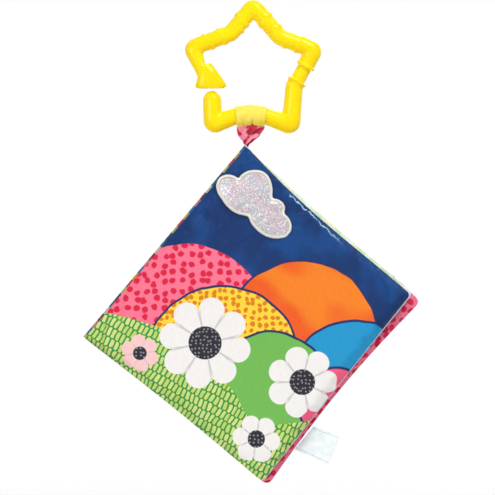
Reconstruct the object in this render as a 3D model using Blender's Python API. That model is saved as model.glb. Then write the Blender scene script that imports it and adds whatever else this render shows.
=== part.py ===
"""Pram activity book: a square padded cloth book that hangs by a fabric loop from a star link.

Metres, +Z up, +Y away from the viewer. The origin is the star's inner top corner, where the
pram's hook bears. The book hangs by the top end of its spine, so the spine slants.

Bodies, from the pram down: the star link; the back cover with the loop; the page, which turns
about the back fold of the spine; the front cover, which turns about the front fold; the label,
which flaps on the back cover's edge.
"""

import math

import bmesh
import bpy
from mathutils import Vector

# Star link
STAR_WIDTH = 0.0803
TUBE_RADIUS = 0.0049
STAR_TIP_RADIUS = 0.0070
STAR_INNER_RADIUS = 0.0010
TUBE_SIDES = 12
CORNER_STEPS = 3
NUB_HEIGHT = 0.0009
NUB_HALF_WIDTH = 0.0013
COLLAR_HEIGHT = 0.0009
COLLAR_HALF_WIDTH = 0.0012
NECKED_DEPTH = 0.0008
STATION_MARGIN = 0.0006

# Centre line of the tube, from the left point round over the top to the stub, in shares of
# the star's width from the inner top corner.
STAR_PATH_SHARES = (
    (-0.4595, -0.213),
    (-0.173, -0.105),
    (-0.006, 0.091),
    (0.186, -0.133),
    (0.440, -0.229),
    (0.293, -0.496),
    (0.268, -0.781),
    (0.094, -0.7185),
    (-0.148, -0.7185),
    (-0.305, -0.775),
    (-0.311, -0.598),
)

# The flared end of the gate, from its flat foot up to the arm: outer side, inner side.
WEDGE_SHARES = (
    ((-0.411, -0.512), (-0.232, -0.510)),
    ((-0.434, -0.500), (-0.208, -0.487)),
    ((-0.430, -0.470), (-0.214, -0.470)),
    ((-0.417, -0.432), (-0.262, -0.398)),
    ((-0.428, -0.400), (-0.318, -0.322)),
    ((-0.444, -0.372), (-0.360, -0.330)),
)
WEDGE_DEPTH_SHARES = (0.90, 0.97, 1.0, 1.0, 1.0, 1.0)

# Moulded nubs: leg of the path, share of the leg's length, side (1 outer, -1 inner).
NUB_SHARES = (
    (0, 0.36, 1),
    (0, 0.47, -1),
    (0, 0.74, 1),
    (0, 0.80, -1),
    (1, 0.24, -1),
    (1, 0.46, -1),
    (1, 0.52, 1),
    (2, 0.40, 1),
    (2, 0.48, -1),
    (2, 0.78, 1),
    (3, 0.20, -1),
    (3, 0.55, -1),
    (3, 0.62, 1),
)
COLLAR_SHARES = (0.44, 0.80)
COLLAR_LEG = 4

# Book: the spine's top end is where the loop's neck is sewn
HANG_ANGLE = math.radians(49.87)
SPINE_LENGTH = 0.1483
FRONT_TOP_WIDTH = 0.1307
FRONT_FOOT_WIDTH = 0.1351
BACK_TOP_WIDTH = 0.1373
BACK_FOOT_WIDTH = 0.1390
PAGE_TOP_WIDTH = 0.1330
PAGE_FOOT_WIDTH = 0.1360
TOP_EDGE_DROP = 0.0044
PAGE_TOP_DROP = 0.0034
FOOT_EDGE_RISE = 0.0031
LEAF_TOP_INSET = 0.0006
PAGE_FOOT_INSET = 0.0006
SPINE_CORNER_RADIUS = 0.0030
FREE_CORNER_RADIUS = 0.0052
SIDE_DRAW_IN = 0.0010
FRONT_TOP_DRAW_IN = 0.0024
BACK_FORE_DRAW_IN = 0.0018
CORNER_SEGMENTS = 3
SIDE_SEGMENTS = 4

# Panels: crowns are the rise of a padded face from its seam to its middle
OUTER_CROWN = 0.0034
LINING_CROWN = 0.0021
PAGE_CROWN = 0.0020
CLOTH = 0.0006
FILM = 0.0003
GAP = 0.0003
HINGE_DEPTH = 0.0022
SEAM_SETBACK = 0.0024
RISE_SHARES = (
    (0.0, 0.0),
    (0.012, 0.42),
    (0.040, 0.68),
    (0.100, 0.86),
    (0.250, 0.96),
    (0.500, 1.0),
)
WADDING_SHARES = (0.060, 0.100, 0.250, 0.500)
FILM_SHARES = (0.080, 0.100, 0.250, 0.500)

# Spine: a rolled seam each side of the page, and the hem of each cover round its seam
FOLD_RADIUS = 0.0012
FOLD_INSET = 0.0021
BACK_FOLD_SHIFT = 0.0004
FOLD_END_INSET = 0.0003
FOLD_SIDES = 10
HEM_SEGMENTS = 7
HEM_START = math.radians(38.0)
HEM_END = math.radians(178.0)
PANEL_SPINE_GAP = 0.0015

# Cloud of glitter fabric: its middle right of and below the spine's top, and its outer edge in
# shares of its width from that middle, x and z
CLOUD_WIDTH = 0.0445
CLOUD_RIGHT = 0.0046
CLOUD_DROP = 0.0344
CLOUD_EDGE_SHARES = (
    (-0.500, 0.238),
    (-0.477, 0.319),
    (-0.425, 0.371),
    (-0.345, 0.394),
    (-0.264, 0.378),
    (-0.206, 0.349),
    (-0.161, 0.394),
    (-0.081, 0.440),
    (0.022, 0.454),
    (0.109, 0.440),
    (0.183, 0.386),
    (0.227, 0.305),
    (0.249, 0.202),
    (0.247, 0.113),
    (0.264, 0.078),
    (0.315, 0.067),
    (0.381, 0.026),
    (0.414, -0.040),
    (0.410, -0.120),
    (0.462, -0.179),
    (0.500, -0.267),
    (0.492, -0.355),
    (0.433, -0.429),
    (0.345, -0.454),
    (0.242, -0.450),
    (0.138, -0.415),
    (0.037, -0.341),
    (-0.037, -0.252),
    (-0.074, -0.172),
    (-0.126, -0.151),
    (-0.198, -0.135),
    (-0.286, -0.091),
    (-0.367, -0.018),
    (-0.425, 0.063),
    (-0.477, 0.144),
)
CLOUD_HUB_SHARE = (0.054, -0.050)
CLOUD_RING_SHARES = (1.0, 0.86, 0.66, 0.40)
CLOUD_SHOULDER_SHARE = 0.6
CLOUD_REST_SHARE = 0.040
CLOUD_BORDER = 0.0017
CLOUD_BORDER_HEIGHT = 0.0018
CLOUD_PAD = 0.0009

# Loop
LOOP_CLEARANCE = 0.0004
BAND_THICKNESS = 0.0008
BAND_WIDTH = 0.0183
BAND_FOOT_WIDTH = 0.0165
BAND_SIDES = 24
NECK_DROP = 0.0110
NECK_SLANT = 0.0028
NECK_WIDTH = 0.0168
NECK_DEPTH = 0.0062
NECK_WAIST_WIDTH = 0.0050
NECK_WAIST_DEPTH = 0.0046
NECK_FOOT_WIDTH = 0.0042
NECK_FOOT_DEPTH = 0.0046
NECK_FOOT_SHIFT = -0.0004
NECK_WAIST_SHARE = 0.28
NECK_RINGS = 6
NECK_SIDES = 24
NECK_PLEATS = 6
NECK_PLEAT_DEPTH = 0.0005

# Label on the back cover's free edge
LABEL_WIDTH = 0.0176
LABEL_REACH = 0.0178
LABEL_FROM_FOOT = 0.0386
LABEL_THICKNESS = 0.0010
LABEL_LIFT = 0.0055
LABEL_OUTER_DROP = 0.0029


def clear_scene():
    for item in list(bpy.data.objects):
        bpy.data.objects.remove(item, do_unlink=True)


def material(name, colour, roughness, metallic=0.0):
    made = bpy.data.materials.new(name)
    made.use_nodes = True
    shader = made.node_tree.nodes["Principled BSDF"]
    shader.inputs["Base Color"].default_value = (*colour, 1.0)
    shader.inputs["Roughness"].default_value = roughness
    shader.inputs["Metallic"].default_value = metallic
    made.diffuse_color = (*colour, 1.0)
    return made


def empty(name, place, parent=None, turn=0.0):
    made = bpy.data.objects.new(name, None)
    made.location = place
    made.rotation_euler = (0.0, turn, 0.0)
    made.empty_display_size = TUBE_RADIUS
    made.parent = parent
    bpy.context.scene.collection.objects.link(made)
    return made


def solid(name, points, faces, look, parent, origin=Vector(), crease=math.radians(50.0)):
    """A closed mesh from points in the parent's book frame, moved so that origin is its zero."""
    mesh = bpy.data.meshes.new(name)
    mesh.from_pydata([tuple(Vector(p) - origin) for p in points], [], faces)
    shape = bmesh.new()
    shape.from_mesh(mesh)
    bmesh.ops.recalc_face_normals(shape, faces=shape.faces)
    shape.to_mesh(mesh)
    shape.free()
    mesh.shade_smooth()
    mesh.set_sharp_from_angle(angle=crease)
    mesh.materials.append(look)
    made = bpy.data.objects.new(name, mesh)
    made.parent = parent
    bpy.context.scene.collection.objects.link(made)
    return made


def stitch(lower, upper, count):
    """Quads between two rings of count points, as index lists."""
    return [
        (lower + i, lower + (i + 1) % count, upper + (i + 1) % count, upper + i)
        for i in range(count)
    ]


def along_profile(profile, at):
    """The profile's value at a share, straight between its points."""
    at = max(at, profile[0][0])
    for (a, low), (b, high) in zip(profile, profile[1:]):
        if at <= b:
            return low + (high - low) * (at - a) / (b - a)
    return profile[-1][1]


# Star link: one tube of stations, each a slice from its outer side to its inner side


def leg_frame(start, end):
    along = (end - start).normalized()
    outer = Vector((-along.z, 0.0, along.x))
    return along, outer


def corner_stations(before, corner, after):
    """Slices round a corner: a wide arc on one side and a tight arc on the other."""
    first, outer_1 = leg_frame(before, corner)
    second, outer_2 = leg_frame(corner, after)
    turn = first.x * second.z - first.z * second.x
    side = 1.0 if turn > 0 else -1.0
    inward_1 = outer_1 * side
    inward_2 = outer_2 * side
    bisector = (second - first).normalized()
    half = math.acos(max(-1.0, min(1.0, first.dot(-second)))) / 2
    wide = corner + bisector * (STAR_TIP_RADIUS - TUBE_RADIUS) / math.sin(half)
    tight = corner + bisector * (TUBE_RADIUS + STAR_INNER_RADIUS) / math.sin(half)
    reach = (TUBE_RADIUS + STAR_INNER_RADIUS) / math.tan(half)
    slices = []
    for step in range(2 * CORNER_STEPS + 1):
        facing = inward_1.slerp(inward_2, step / (2 * CORNER_STEPS))
        far = wide - facing * STAR_TIP_RADIUS
        near = tight - facing * STAR_INNER_RADIUS
        slices.append((near, far, TUBE_RADIUS) if side > 0 else (far, near, TUBE_RADIUS))
    return slices, reach


def tent(at, middle, half_width):
    return max(0.0, 1.0 - abs(at - middle) / half_width)


def leg_stations(leg, start, end, low, high):
    """Slices square to a leg between low and high, with its nubs and collars."""
    along, outer = leg_frame(start, end)
    length = (end - start).length
    nubs = [(share * length, side) for number, share, side in NUB_SHARES if number == leg]
    collars = [share * length for share in COLLAR_SHARES] if leg == COLLAR_LEG else []
    stops = {low, high}
    for middle, _ in nubs:
        stops |= {middle - NUB_HALF_WIDTH, middle, middle + NUB_HALF_WIDTH}
    for middle in collars:
        stops |= {middle - COLLAR_HALF_WIDTH, middle, middle + COLLAR_HALF_WIDTH}
    slices = []
    for at in sorted(s for s in stops if low <= s <= high):
        sides = {1: TUBE_RADIUS, -1: TUBE_RADIUS}
        depth = TUBE_RADIUS
        if collars and collars[0] <= at <= collars[1]:
            sides = {side: radius - NECKED_DEPTH for side, radius in sides.items()}
            depth -= NECKED_DEPTH
        for middle, side in nubs:
            sides[side] += NUB_HEIGHT * tent(at, middle, NUB_HALF_WIDTH)
        for middle in collars:
            swell = (COLLAR_HEIGHT + NECKED_DEPTH) * tent(at, middle, COLLAR_HALF_WIDTH)
            sides = {side: radius + swell for side, radius in sides.items()}
            depth += swell
        middle = start + along * at
        slices.append((middle + outer * sides[1], middle - outer * sides[-1], depth))
    return slices


def star_link(look):
    path = [Vector((x * STAR_WIDTH, 0.0, z * STAR_WIDTH)) for x, z in STAR_PATH_SHARES]
    slices = [
        (
            Vector((a[0] * STAR_WIDTH, 0.0, a[1] * STAR_WIDTH)),
            Vector((b[0] * STAR_WIDTH, 0.0, b[1] * STAR_WIDTH)),
            TUBE_RADIUS * depth,
        )
        for (a, b), depth in zip(WEDGE_SHARES, WEDGE_DEPTH_SHARES)
    ]
    arm_foot = (slices[-1][0] + slices[-1][1]) / 2
    corner, reach = corner_stations(arm_foot, path[0], path[1])
    slices += corner
    for leg in range(len(path) - 2):
        corner, ahead = corner_stations(path[leg], path[leg + 1], path[leg + 2])
        length = (path[leg + 1] - path[leg]).length
        low = reach + STATION_MARGIN
        high = length - ahead - STATION_MARGIN
        slices += leg_stations(leg, path[leg], path[leg + 1], low, high)
        slices += corner
        reach = ahead
    last, outer = leg_frame(path[-2], path[-1])
    for step in range(TUBE_SIDES // 4):
        angle = math.pi / 2 * step / (TUBE_SIDES // 4)
        middle = path[-1] + last * TUBE_RADIUS * math.sin(angle)
        radius = TUBE_RADIUS * math.cos(angle)
        slices.append((middle + outer * radius, middle - outer * radius, radius))
    points = []
    for outside, inside, depth in slices:
        middle = (outside + inside) / 2
        arm = (outside - inside) / 2
        for k in range(TUBE_SIDES):
            angle = 2 * math.pi * k / TUBE_SIDES
            points.append(middle + arm * math.cos(angle) + Vector((0.0, depth * math.sin(angle), 0.0)))
    faces = []
    for n in range(len(slices) - 1):
        faces += stitch(n * TUBE_SIDES, (n + 1) * TUBE_SIDES, TUBE_SIDES)
    faces.append(tuple(range(TUBE_SIDES)))
    tip = len(points)
    points.append(path[-1] + last * TUBE_RADIUS)
    top = (len(slices) - 1) * TUBE_SIDES
    faces += [(top + i, top + (i + 1) % TUBE_SIDES, tip) for i in range(TUBE_SIDES)]
    return solid("star_ring", points, faces, look, None), path


# Book panels, in the book's frame: X runs up the spine to its top end, Z from the free edge
# back to the spine, Y away from the viewer


def rounded_outline(top_width, foot_width, top_drop, spine_inset, foot_inset, fore_draw_in, top_draw_in):
    """A panel's outline from the spine's foot, through the free corners, to its top end."""
    corners = (
        (Vector((foot_inset - SPINE_LENGTH, 0.0, -spine_inset)), SPINE_CORNER_RADIUS),
        (Vector((FOOT_EDGE_RISE - SPINE_LENGTH, 0.0, -foot_width)), FREE_CORNER_RADIUS),
        (Vector((-top_drop, 0.0, -top_width)), FREE_CORNER_RADIUS),
        (Vector((-LEAF_TOP_INSET, 0.0, -spine_inset)), SPINE_CORNER_RADIUS),
    )
    draw_in = (SIDE_DRAW_IN, fore_draw_in, top_draw_in, 0.0)
    points = []
    for n, (corner, radius) in enumerate(corners):
        back = (corners[n - 1][0] - corner).normalized()
        ahead = (corners[(n + 1) % 4][0] - corner).normalized()
        half = back.angle(ahead) / 2
        centre = corner + (back + ahead).normalized() * radius / math.sin(half)
        start = (corner + back * radius / math.tan(half) - centre).normalized()
        end = (corner + ahead * radius / math.tan(half) - centre).normalized()
        spokes = [start.slerp(end, k / CORNER_SEGMENTS) for k in range(CORNER_SEGMENTS + 1)]
        points += [centre + spoke * radius for spoke in spokes]
        following, next_radius = corners[(n + 1) % 4]
        next_back = (corner - following).normalized()
        next_ahead = (corners[(n + 2) % 4][0] - following).normalized()
        next_half = next_back.angle(next_ahead) / 2
        begin = corner + ahead * radius / math.tan(half)
        finish = following + next_back * next_radius / math.tan(next_half)
        inward = Vector((-ahead.z, 0.0, ahead.x))
        for k in range(1, SIDE_SEGMENTS):
            share = k / SIDE_SEGMENTS
            bow = inward * draw_in[n] * math.sin(math.pi * share)
            points.append(begin.lerp(finish, share) + bow)
    return points


def middle_of(outline):
    return sum(outline, Vector()) / len(outline)


def half_size(outline):
    middle = middle_of(outline)
    return min((p - middle).length for p in outline)


def free_edge(outline, x):
    """The outline's Z on the free side, at a place along the spine."""
    found = []
    for a, b in zip(outline, outline[1:] + outline[:1]):
        if min(a.x, b.x) <= x <= max(a.x, b.x) and a.x != b.x:
            found.append(a.z + (b.z - a.z) * (x - a.x) / (b.x - a.x))
    return min(found)


def inset_share(outline, point):
    """How far in from the outline a point lies, as a share of the way to the middle."""
    middle = middle_of(outline)
    ray = point - middle
    for a, b in zip(outline, outline[1:] + outline[:1]):
        edge = b - a
        across = ray.x * edge.z - ray.z * edge.x
        if abs(across) > 0:
            to = a - middle
            reach = (to.x * edge.z - to.z * edge.x) / across
            share = (to.x * ray.z - to.z * ray.x) / across
            if reach > 0 and 0 <= share <= 1:
                return 1.0 - 1.0 / reach
    return 1.0


def layered(name, outline, near, far, look, parent, origin):
    """A closed layer between two faces, each a list of (inset share, y) from rim to middle."""
    middle = middle_of(outline)
    count = len(outline)
    points = []
    for inset, y in near + far:
        points += [p.lerp(middle, inset) + Vector((0.0, y, 0.0)) for p in outline]
    faces = []
    for n in range(len(near) - 1):
        faces += stitch(n * count, (n + 1) * count, count)
    faces.append(tuple(range((len(near) - 1) * count, len(near) * count)))
    base = len(near) * count
    for n in range(len(far) - 1):
        faces += stitch(base + n * count, base + (n + 1) * count, count)
    faces.append(tuple(range(base + (len(far) - 1) * count, base + len(far) * count)))
    faces += stitch(0, base, count)
    return solid(name, points, faces, look, parent, origin, math.radians(60.0))


def cloth_skin(name, outline, seam_y, crown, side, look, parent, origin):
    """A dished cloth face: side is -1 for one that bulges to the viewer, 1 for one away."""
    thickness_share = CLOTH / half_size(outline)
    outside = [(inset, seam_y + side * crown * rise) for inset, rise in RISE_SHARES]
    inside = [
        (inset + thickness_share, seam_y + side * max(0.0, crown * rise - CLOTH))
        for inset, rise in RISE_SHARES
    ]
    near, far = (outside, inside) if side < 0 else (inside, outside)
    return layered(name, outline, near, far, look, parent, origin)


def film_sheet(name, outline, seam_y, crown, side, look, parent, origin):
    """The crinkle film, which follows a face just inside its cloth."""
    top = [
        (inset, seam_y + side * (crown * along_profile(RISE_SHARES, inset) - CLOTH - GAP))
        for inset in FILM_SHARES
    ]
    foot = [(inset, y - side * FILM) for inset, y in top]
    near, far = (top, foot) if side < 0 else (foot, top)
    return layered(name, outline, near, far, look, parent, origin)


def wadding(name, outline, seam_y, near_crown, far_crown, film_side, look, parent, origin):
    """The padding between two faces, thinner where the film lies."""
    near_cover = CLOTH + GAP + (FILM + GAP if film_side < 0 else 0.0)
    far_cover = CLOTH + GAP + (FILM + GAP if film_side > 0 else 0.0)
    near = [
        (inset, seam_y - near_crown * along_profile(RISE_SHARES, inset) + near_cover)
        for inset in WADDING_SHARES
    ]
    far = [
        (inset, seam_y + far_crown * along_profile(RISE_SHARES, inset) - far_cover)
        for inset in WADDING_SHARES
    ]
    return layered(name, outline, near, far, look, parent, origin)


def fold(name, axis, look, parent, origin):
    """A rolled seam along the spine, round about the axis that the next leaf turns on."""
    points = []
    for x in (FOLD_END_INSET - SPINE_LENGTH, -FOLD_END_INSET):
        for k in range(FOLD_SIDES):
            angle = 2 * math.pi * k / FOLD_SIDES
            spoke = Vector((x, FOLD_RADIUS * math.sin(angle), FOLD_RADIUS * math.cos(angle)))
            points.append(axis + spoke)
    faces = stitch(0, FOLD_SIDES, FOLD_SIDES)
    faces.append(tuple(range(FOLD_SIDES)))
    faces.append(tuple(range(FOLD_SIDES, 2 * FOLD_SIDES)))
    return solid(name, points, faces, look, parent, origin)


def hem(name, axis, side, look, parent, origin):
    """A cover's cloth brought round its rolled seam: side is -1 in front of it, 1 behind."""
    inner = FOLD_RADIUS + GAP
    profile = []
    for radius, order in ((inner, 1), (inner + CLOTH, -1)):
        arc = []
        for k in range(HEM_SEGMENTS + 1):
            angle = HEM_START + (HEM_END - HEM_START) * k / HEM_SEGMENTS
            arc.append((side * radius * math.sin(angle), -radius * math.cos(angle)))
        profile += arc[::order]
    points = []
    for x in (FOLD_END_INSET - SPINE_LENGTH, -FOLD_END_INSET):
        points += [axis + Vector((x, y, z)) for y, z in profile]
    count = len(profile)
    faces = stitch(0, count, count)
    faces.append(tuple(range(count)))
    faces.append(tuple(range(count, 2 * count)))
    return solid(name, points, faces, look, parent, origin)


# Cloud on the front cover


def in_book(right, up):
    """A place right of and above the spine's top end, in the book's frame."""
    cos = math.cos(HANG_ANGLE)
    sin = math.sin(HANG_ANGLE)
    return Vector((right * cos + up * sin, 0.0, up * cos - right * sin))


def cloud_hub():
    return (
        CLOUD_RIGHT + CLOUD_HUB_SHARE[0] * CLOUD_WIDTH,
        CLOUD_HUB_SHARE[1] * CLOUD_WIDTH - CLOUD_DROP,
    )


def cloud_outline(shrink):
    """The cloud's outer edge from the spine's top, drawn in square to itself by shrink."""
    edge = [
        Vector((CLOUD_RIGHT + x * CLOUD_WIDTH, 0.0, z * CLOUD_WIDTH - CLOUD_DROP))
        for x, z in CLOUD_EDGE_SHARES
    ]
    points = []
    for n, point in enumerate(edge):
        along = (edge[(n + 1) % len(edge)] - edge[n - 1]).normalized()
        points.append((point.x + along.z * shrink, point.z - along.x * shrink))
    return points


def on_cover(cover, seam_y, x, z, height):
    """A place that lies height above the cover's face, level with it past its rounded edge."""
    place = in_book(x, z)
    rise = along_profile(RISE_SHARES, max(CLOUD_REST_SHARE, inset_share(cover, place)))
    place.y = seam_y - OUTER_CROWN * rise - height
    return place


def cloud_patch(name, cover, seam_y, shrink, lift, thickness, look, parent, origin):
    """A flat patch that lies lift above the cover's face."""
    hub_x, hub_z = cloud_hub()
    rim = cloud_outline(shrink)
    points = []
    for height in (lift + thickness, lift):
        for share in CLOUD_RING_SHARES:
            for x, z in rim:
                at_x = hub_x + (x - hub_x) * share
                at_z = hub_z + (z - hub_z) * share
                points.append(on_cover(cover, seam_y, at_x, at_z, height))
    count = len(rim)
    rings = len(CLOUD_RING_SHARES)
    faces = []
    for n in range(rings - 1):
        faces += stitch(n * count, (n + 1) * count, count)
        faces += stitch((rings + n) * count, (rings + n + 1) * count, count)
    faces += stitch(0, rings * count, count)
    for base in ((rings - 1) * count, (2 * rings - 1) * count):
        tip = len(points)
        points.append(sum(points[base : base + count], Vector()) / count)
        faces += [(base + i, base + (i + 1) % count, tip) for i in range(count)]
    return solid(name, points, faces, look, parent, origin)


def cloud_rope(name, cover, seam_y, look, parent, origin):
    """The satin stitch round the cloud, a low closed rope."""
    shoulder = CLOUD_BORDER_HEIGHT * CLOUD_SHOULDER_SHARE
    rings = (
        (0.0, GAP),
        (0.0, shoulder),
        (CLOUD_BORDER / 2, CLOUD_BORDER_HEIGHT),
        (CLOUD_BORDER, shoulder),
        (CLOUD_BORDER, GAP),
    )
    points = []
    for shrink, height in rings:
        points += [on_cover(cover, seam_y, x, z, height) for x, z in cloud_outline(shrink)]
    count = len(CLOUD_EDGE_SHARES)
    faces = []
    for n in range(len(rings)):
        faces += stitch(n * count, (n + 1) % len(rings) * count, count)
    return solid(name, points, faces, look, parent, origin)


# Loop, in the frame of the star's bar: origin on the bar's centre line


def loop_band(look, parent):
    """A ribbon wrapped round the bar, a little narrower below."""
    inner = TUBE_RADIUS + LOOP_CLEARANCE
    outer = inner + BAND_THICKNESS
    points = []
    for radius, side in ((inner, -1), (outer, -1), (outer, 1), (inner, 1)):
        for k in range(BAND_SIDES):
            angle = 2 * math.pi * k / BAND_SIDES
            below = (1 - math.cos(angle)) / 2
            half = (BAND_WIDTH + (BAND_FOOT_WIDTH - BAND_WIDTH) * below) / 2
            points.append(Vector((side * half, radius * math.sin(angle), radius * math.cos(angle))))
    faces = []
    for n in range(4):
        faces += stitch(n * BAND_SIDES, (n + 1) % 4 * BAND_SIDES, BAND_SIDES)
    return solid("loop_band", points, faces, look, parent)


def neck_seat():
    """How far below the bar's centre line the neck begins."""
    return TUBE_RADIUS + LOOP_CLEARANCE + BAND_THICKNESS + GAP


def loop_neck(look, parent, spine_top):
    """The gathered neck: from a flat head under the band to a foot square to the spine."""
    up_spine = Vector((math.cos(HANG_ANGLE), 0.0, math.sin(HANG_ANGLE)))
    over = Vector((math.sin(HANG_ANGLE), 0.0, -math.cos(HANG_ANGLE)))
    foot = spine_top + up_spine * (GAP - FOLD_END_INSET) + over * NECK_FOOT_SHIFT
    head = Vector((0.0, 0.0, -neck_seat()))
    waist = foot.lerp(head, NECK_WAIST_SHARE)
    sizes = (
        (foot, over, NECK_FOOT_WIDTH, NECK_FOOT_DEPTH),
        (waist, Vector((1.0, 0.0, 0.0)), NECK_WAIST_WIDTH, NECK_WAIST_DEPTH),
        (head, Vector((1.0, 0.0, 0.0)), NECK_WIDTH, NECK_DEPTH),
    )
    points = []
    for ring in range(NECK_RINGS):
        along = ring / (NECK_RINGS - 1) * 2
        lower = min(int(along), 1)
        share = along - lower
        (from_point, from_over, from_width, from_depth) = sizes[lower]
        (to_point, to_over, to_width, to_depth) = sizes[lower + 1]
        middle = from_point.lerp(to_point, share)
        across = from_over.lerp(to_over, share).normalized()
        width = from_width + (to_width - from_width) * share
        depth = from_depth + (to_depth - from_depth) * share
        for k in range(NECK_SIDES):
            angle = 2 * math.pi * k / NECK_SIDES
            pleat = NECK_PLEAT_DEPTH * math.cos(NECK_PLEATS * angle)
            x = (width / 2 - NECK_PLEAT_DEPTH + pleat) * math.cos(angle)
            y = (depth / 2 - NECK_PLEAT_DEPTH + pleat) * math.sin(angle)
            points.append(middle + across * x + Vector((0.0, y, 0.0)))
    faces = []
    for n in range(NECK_RINGS - 1):
        faces += stitch(n * NECK_SIDES, (n + 1) * NECK_SIDES, NECK_SIDES)
    faces.append(tuple(range(NECK_SIDES)))
    faces.append(tuple(range((NECK_RINGS - 1) * NECK_SIDES, NECK_RINGS * NECK_SIDES)))
    return solid("loop_neck", points, faces, look, parent)


def label(look, parent, hinge, edge_z):
    """A folded ribbon that stands out from the free edge, a little askew."""
    low = hinge.x - LABEL_WIDTH / 2
    high = hinge.x + LABEL_WIDTH / 2
    corners = (
        (low, edge_z - GAP),
        (high, edge_z - GAP),
        (high + LABEL_LIFT, edge_z - LABEL_REACH + LABEL_OUTER_DROP),
        (low + LABEL_LIFT, edge_z - LABEL_REACH - LABEL_OUTER_DROP),
    )
    half = LABEL_THICKNESS / 2
    points = [Vector((x, hinge.y + side * half, z)) for side in (-1, 1) for x, z in corners]
    faces = [(0, 1, 2, 3), (4, 5, 6, 7)] + stitch(0, 4, 4)
    return solid("woven_label", points, faces, look, parent, hinge)


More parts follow.
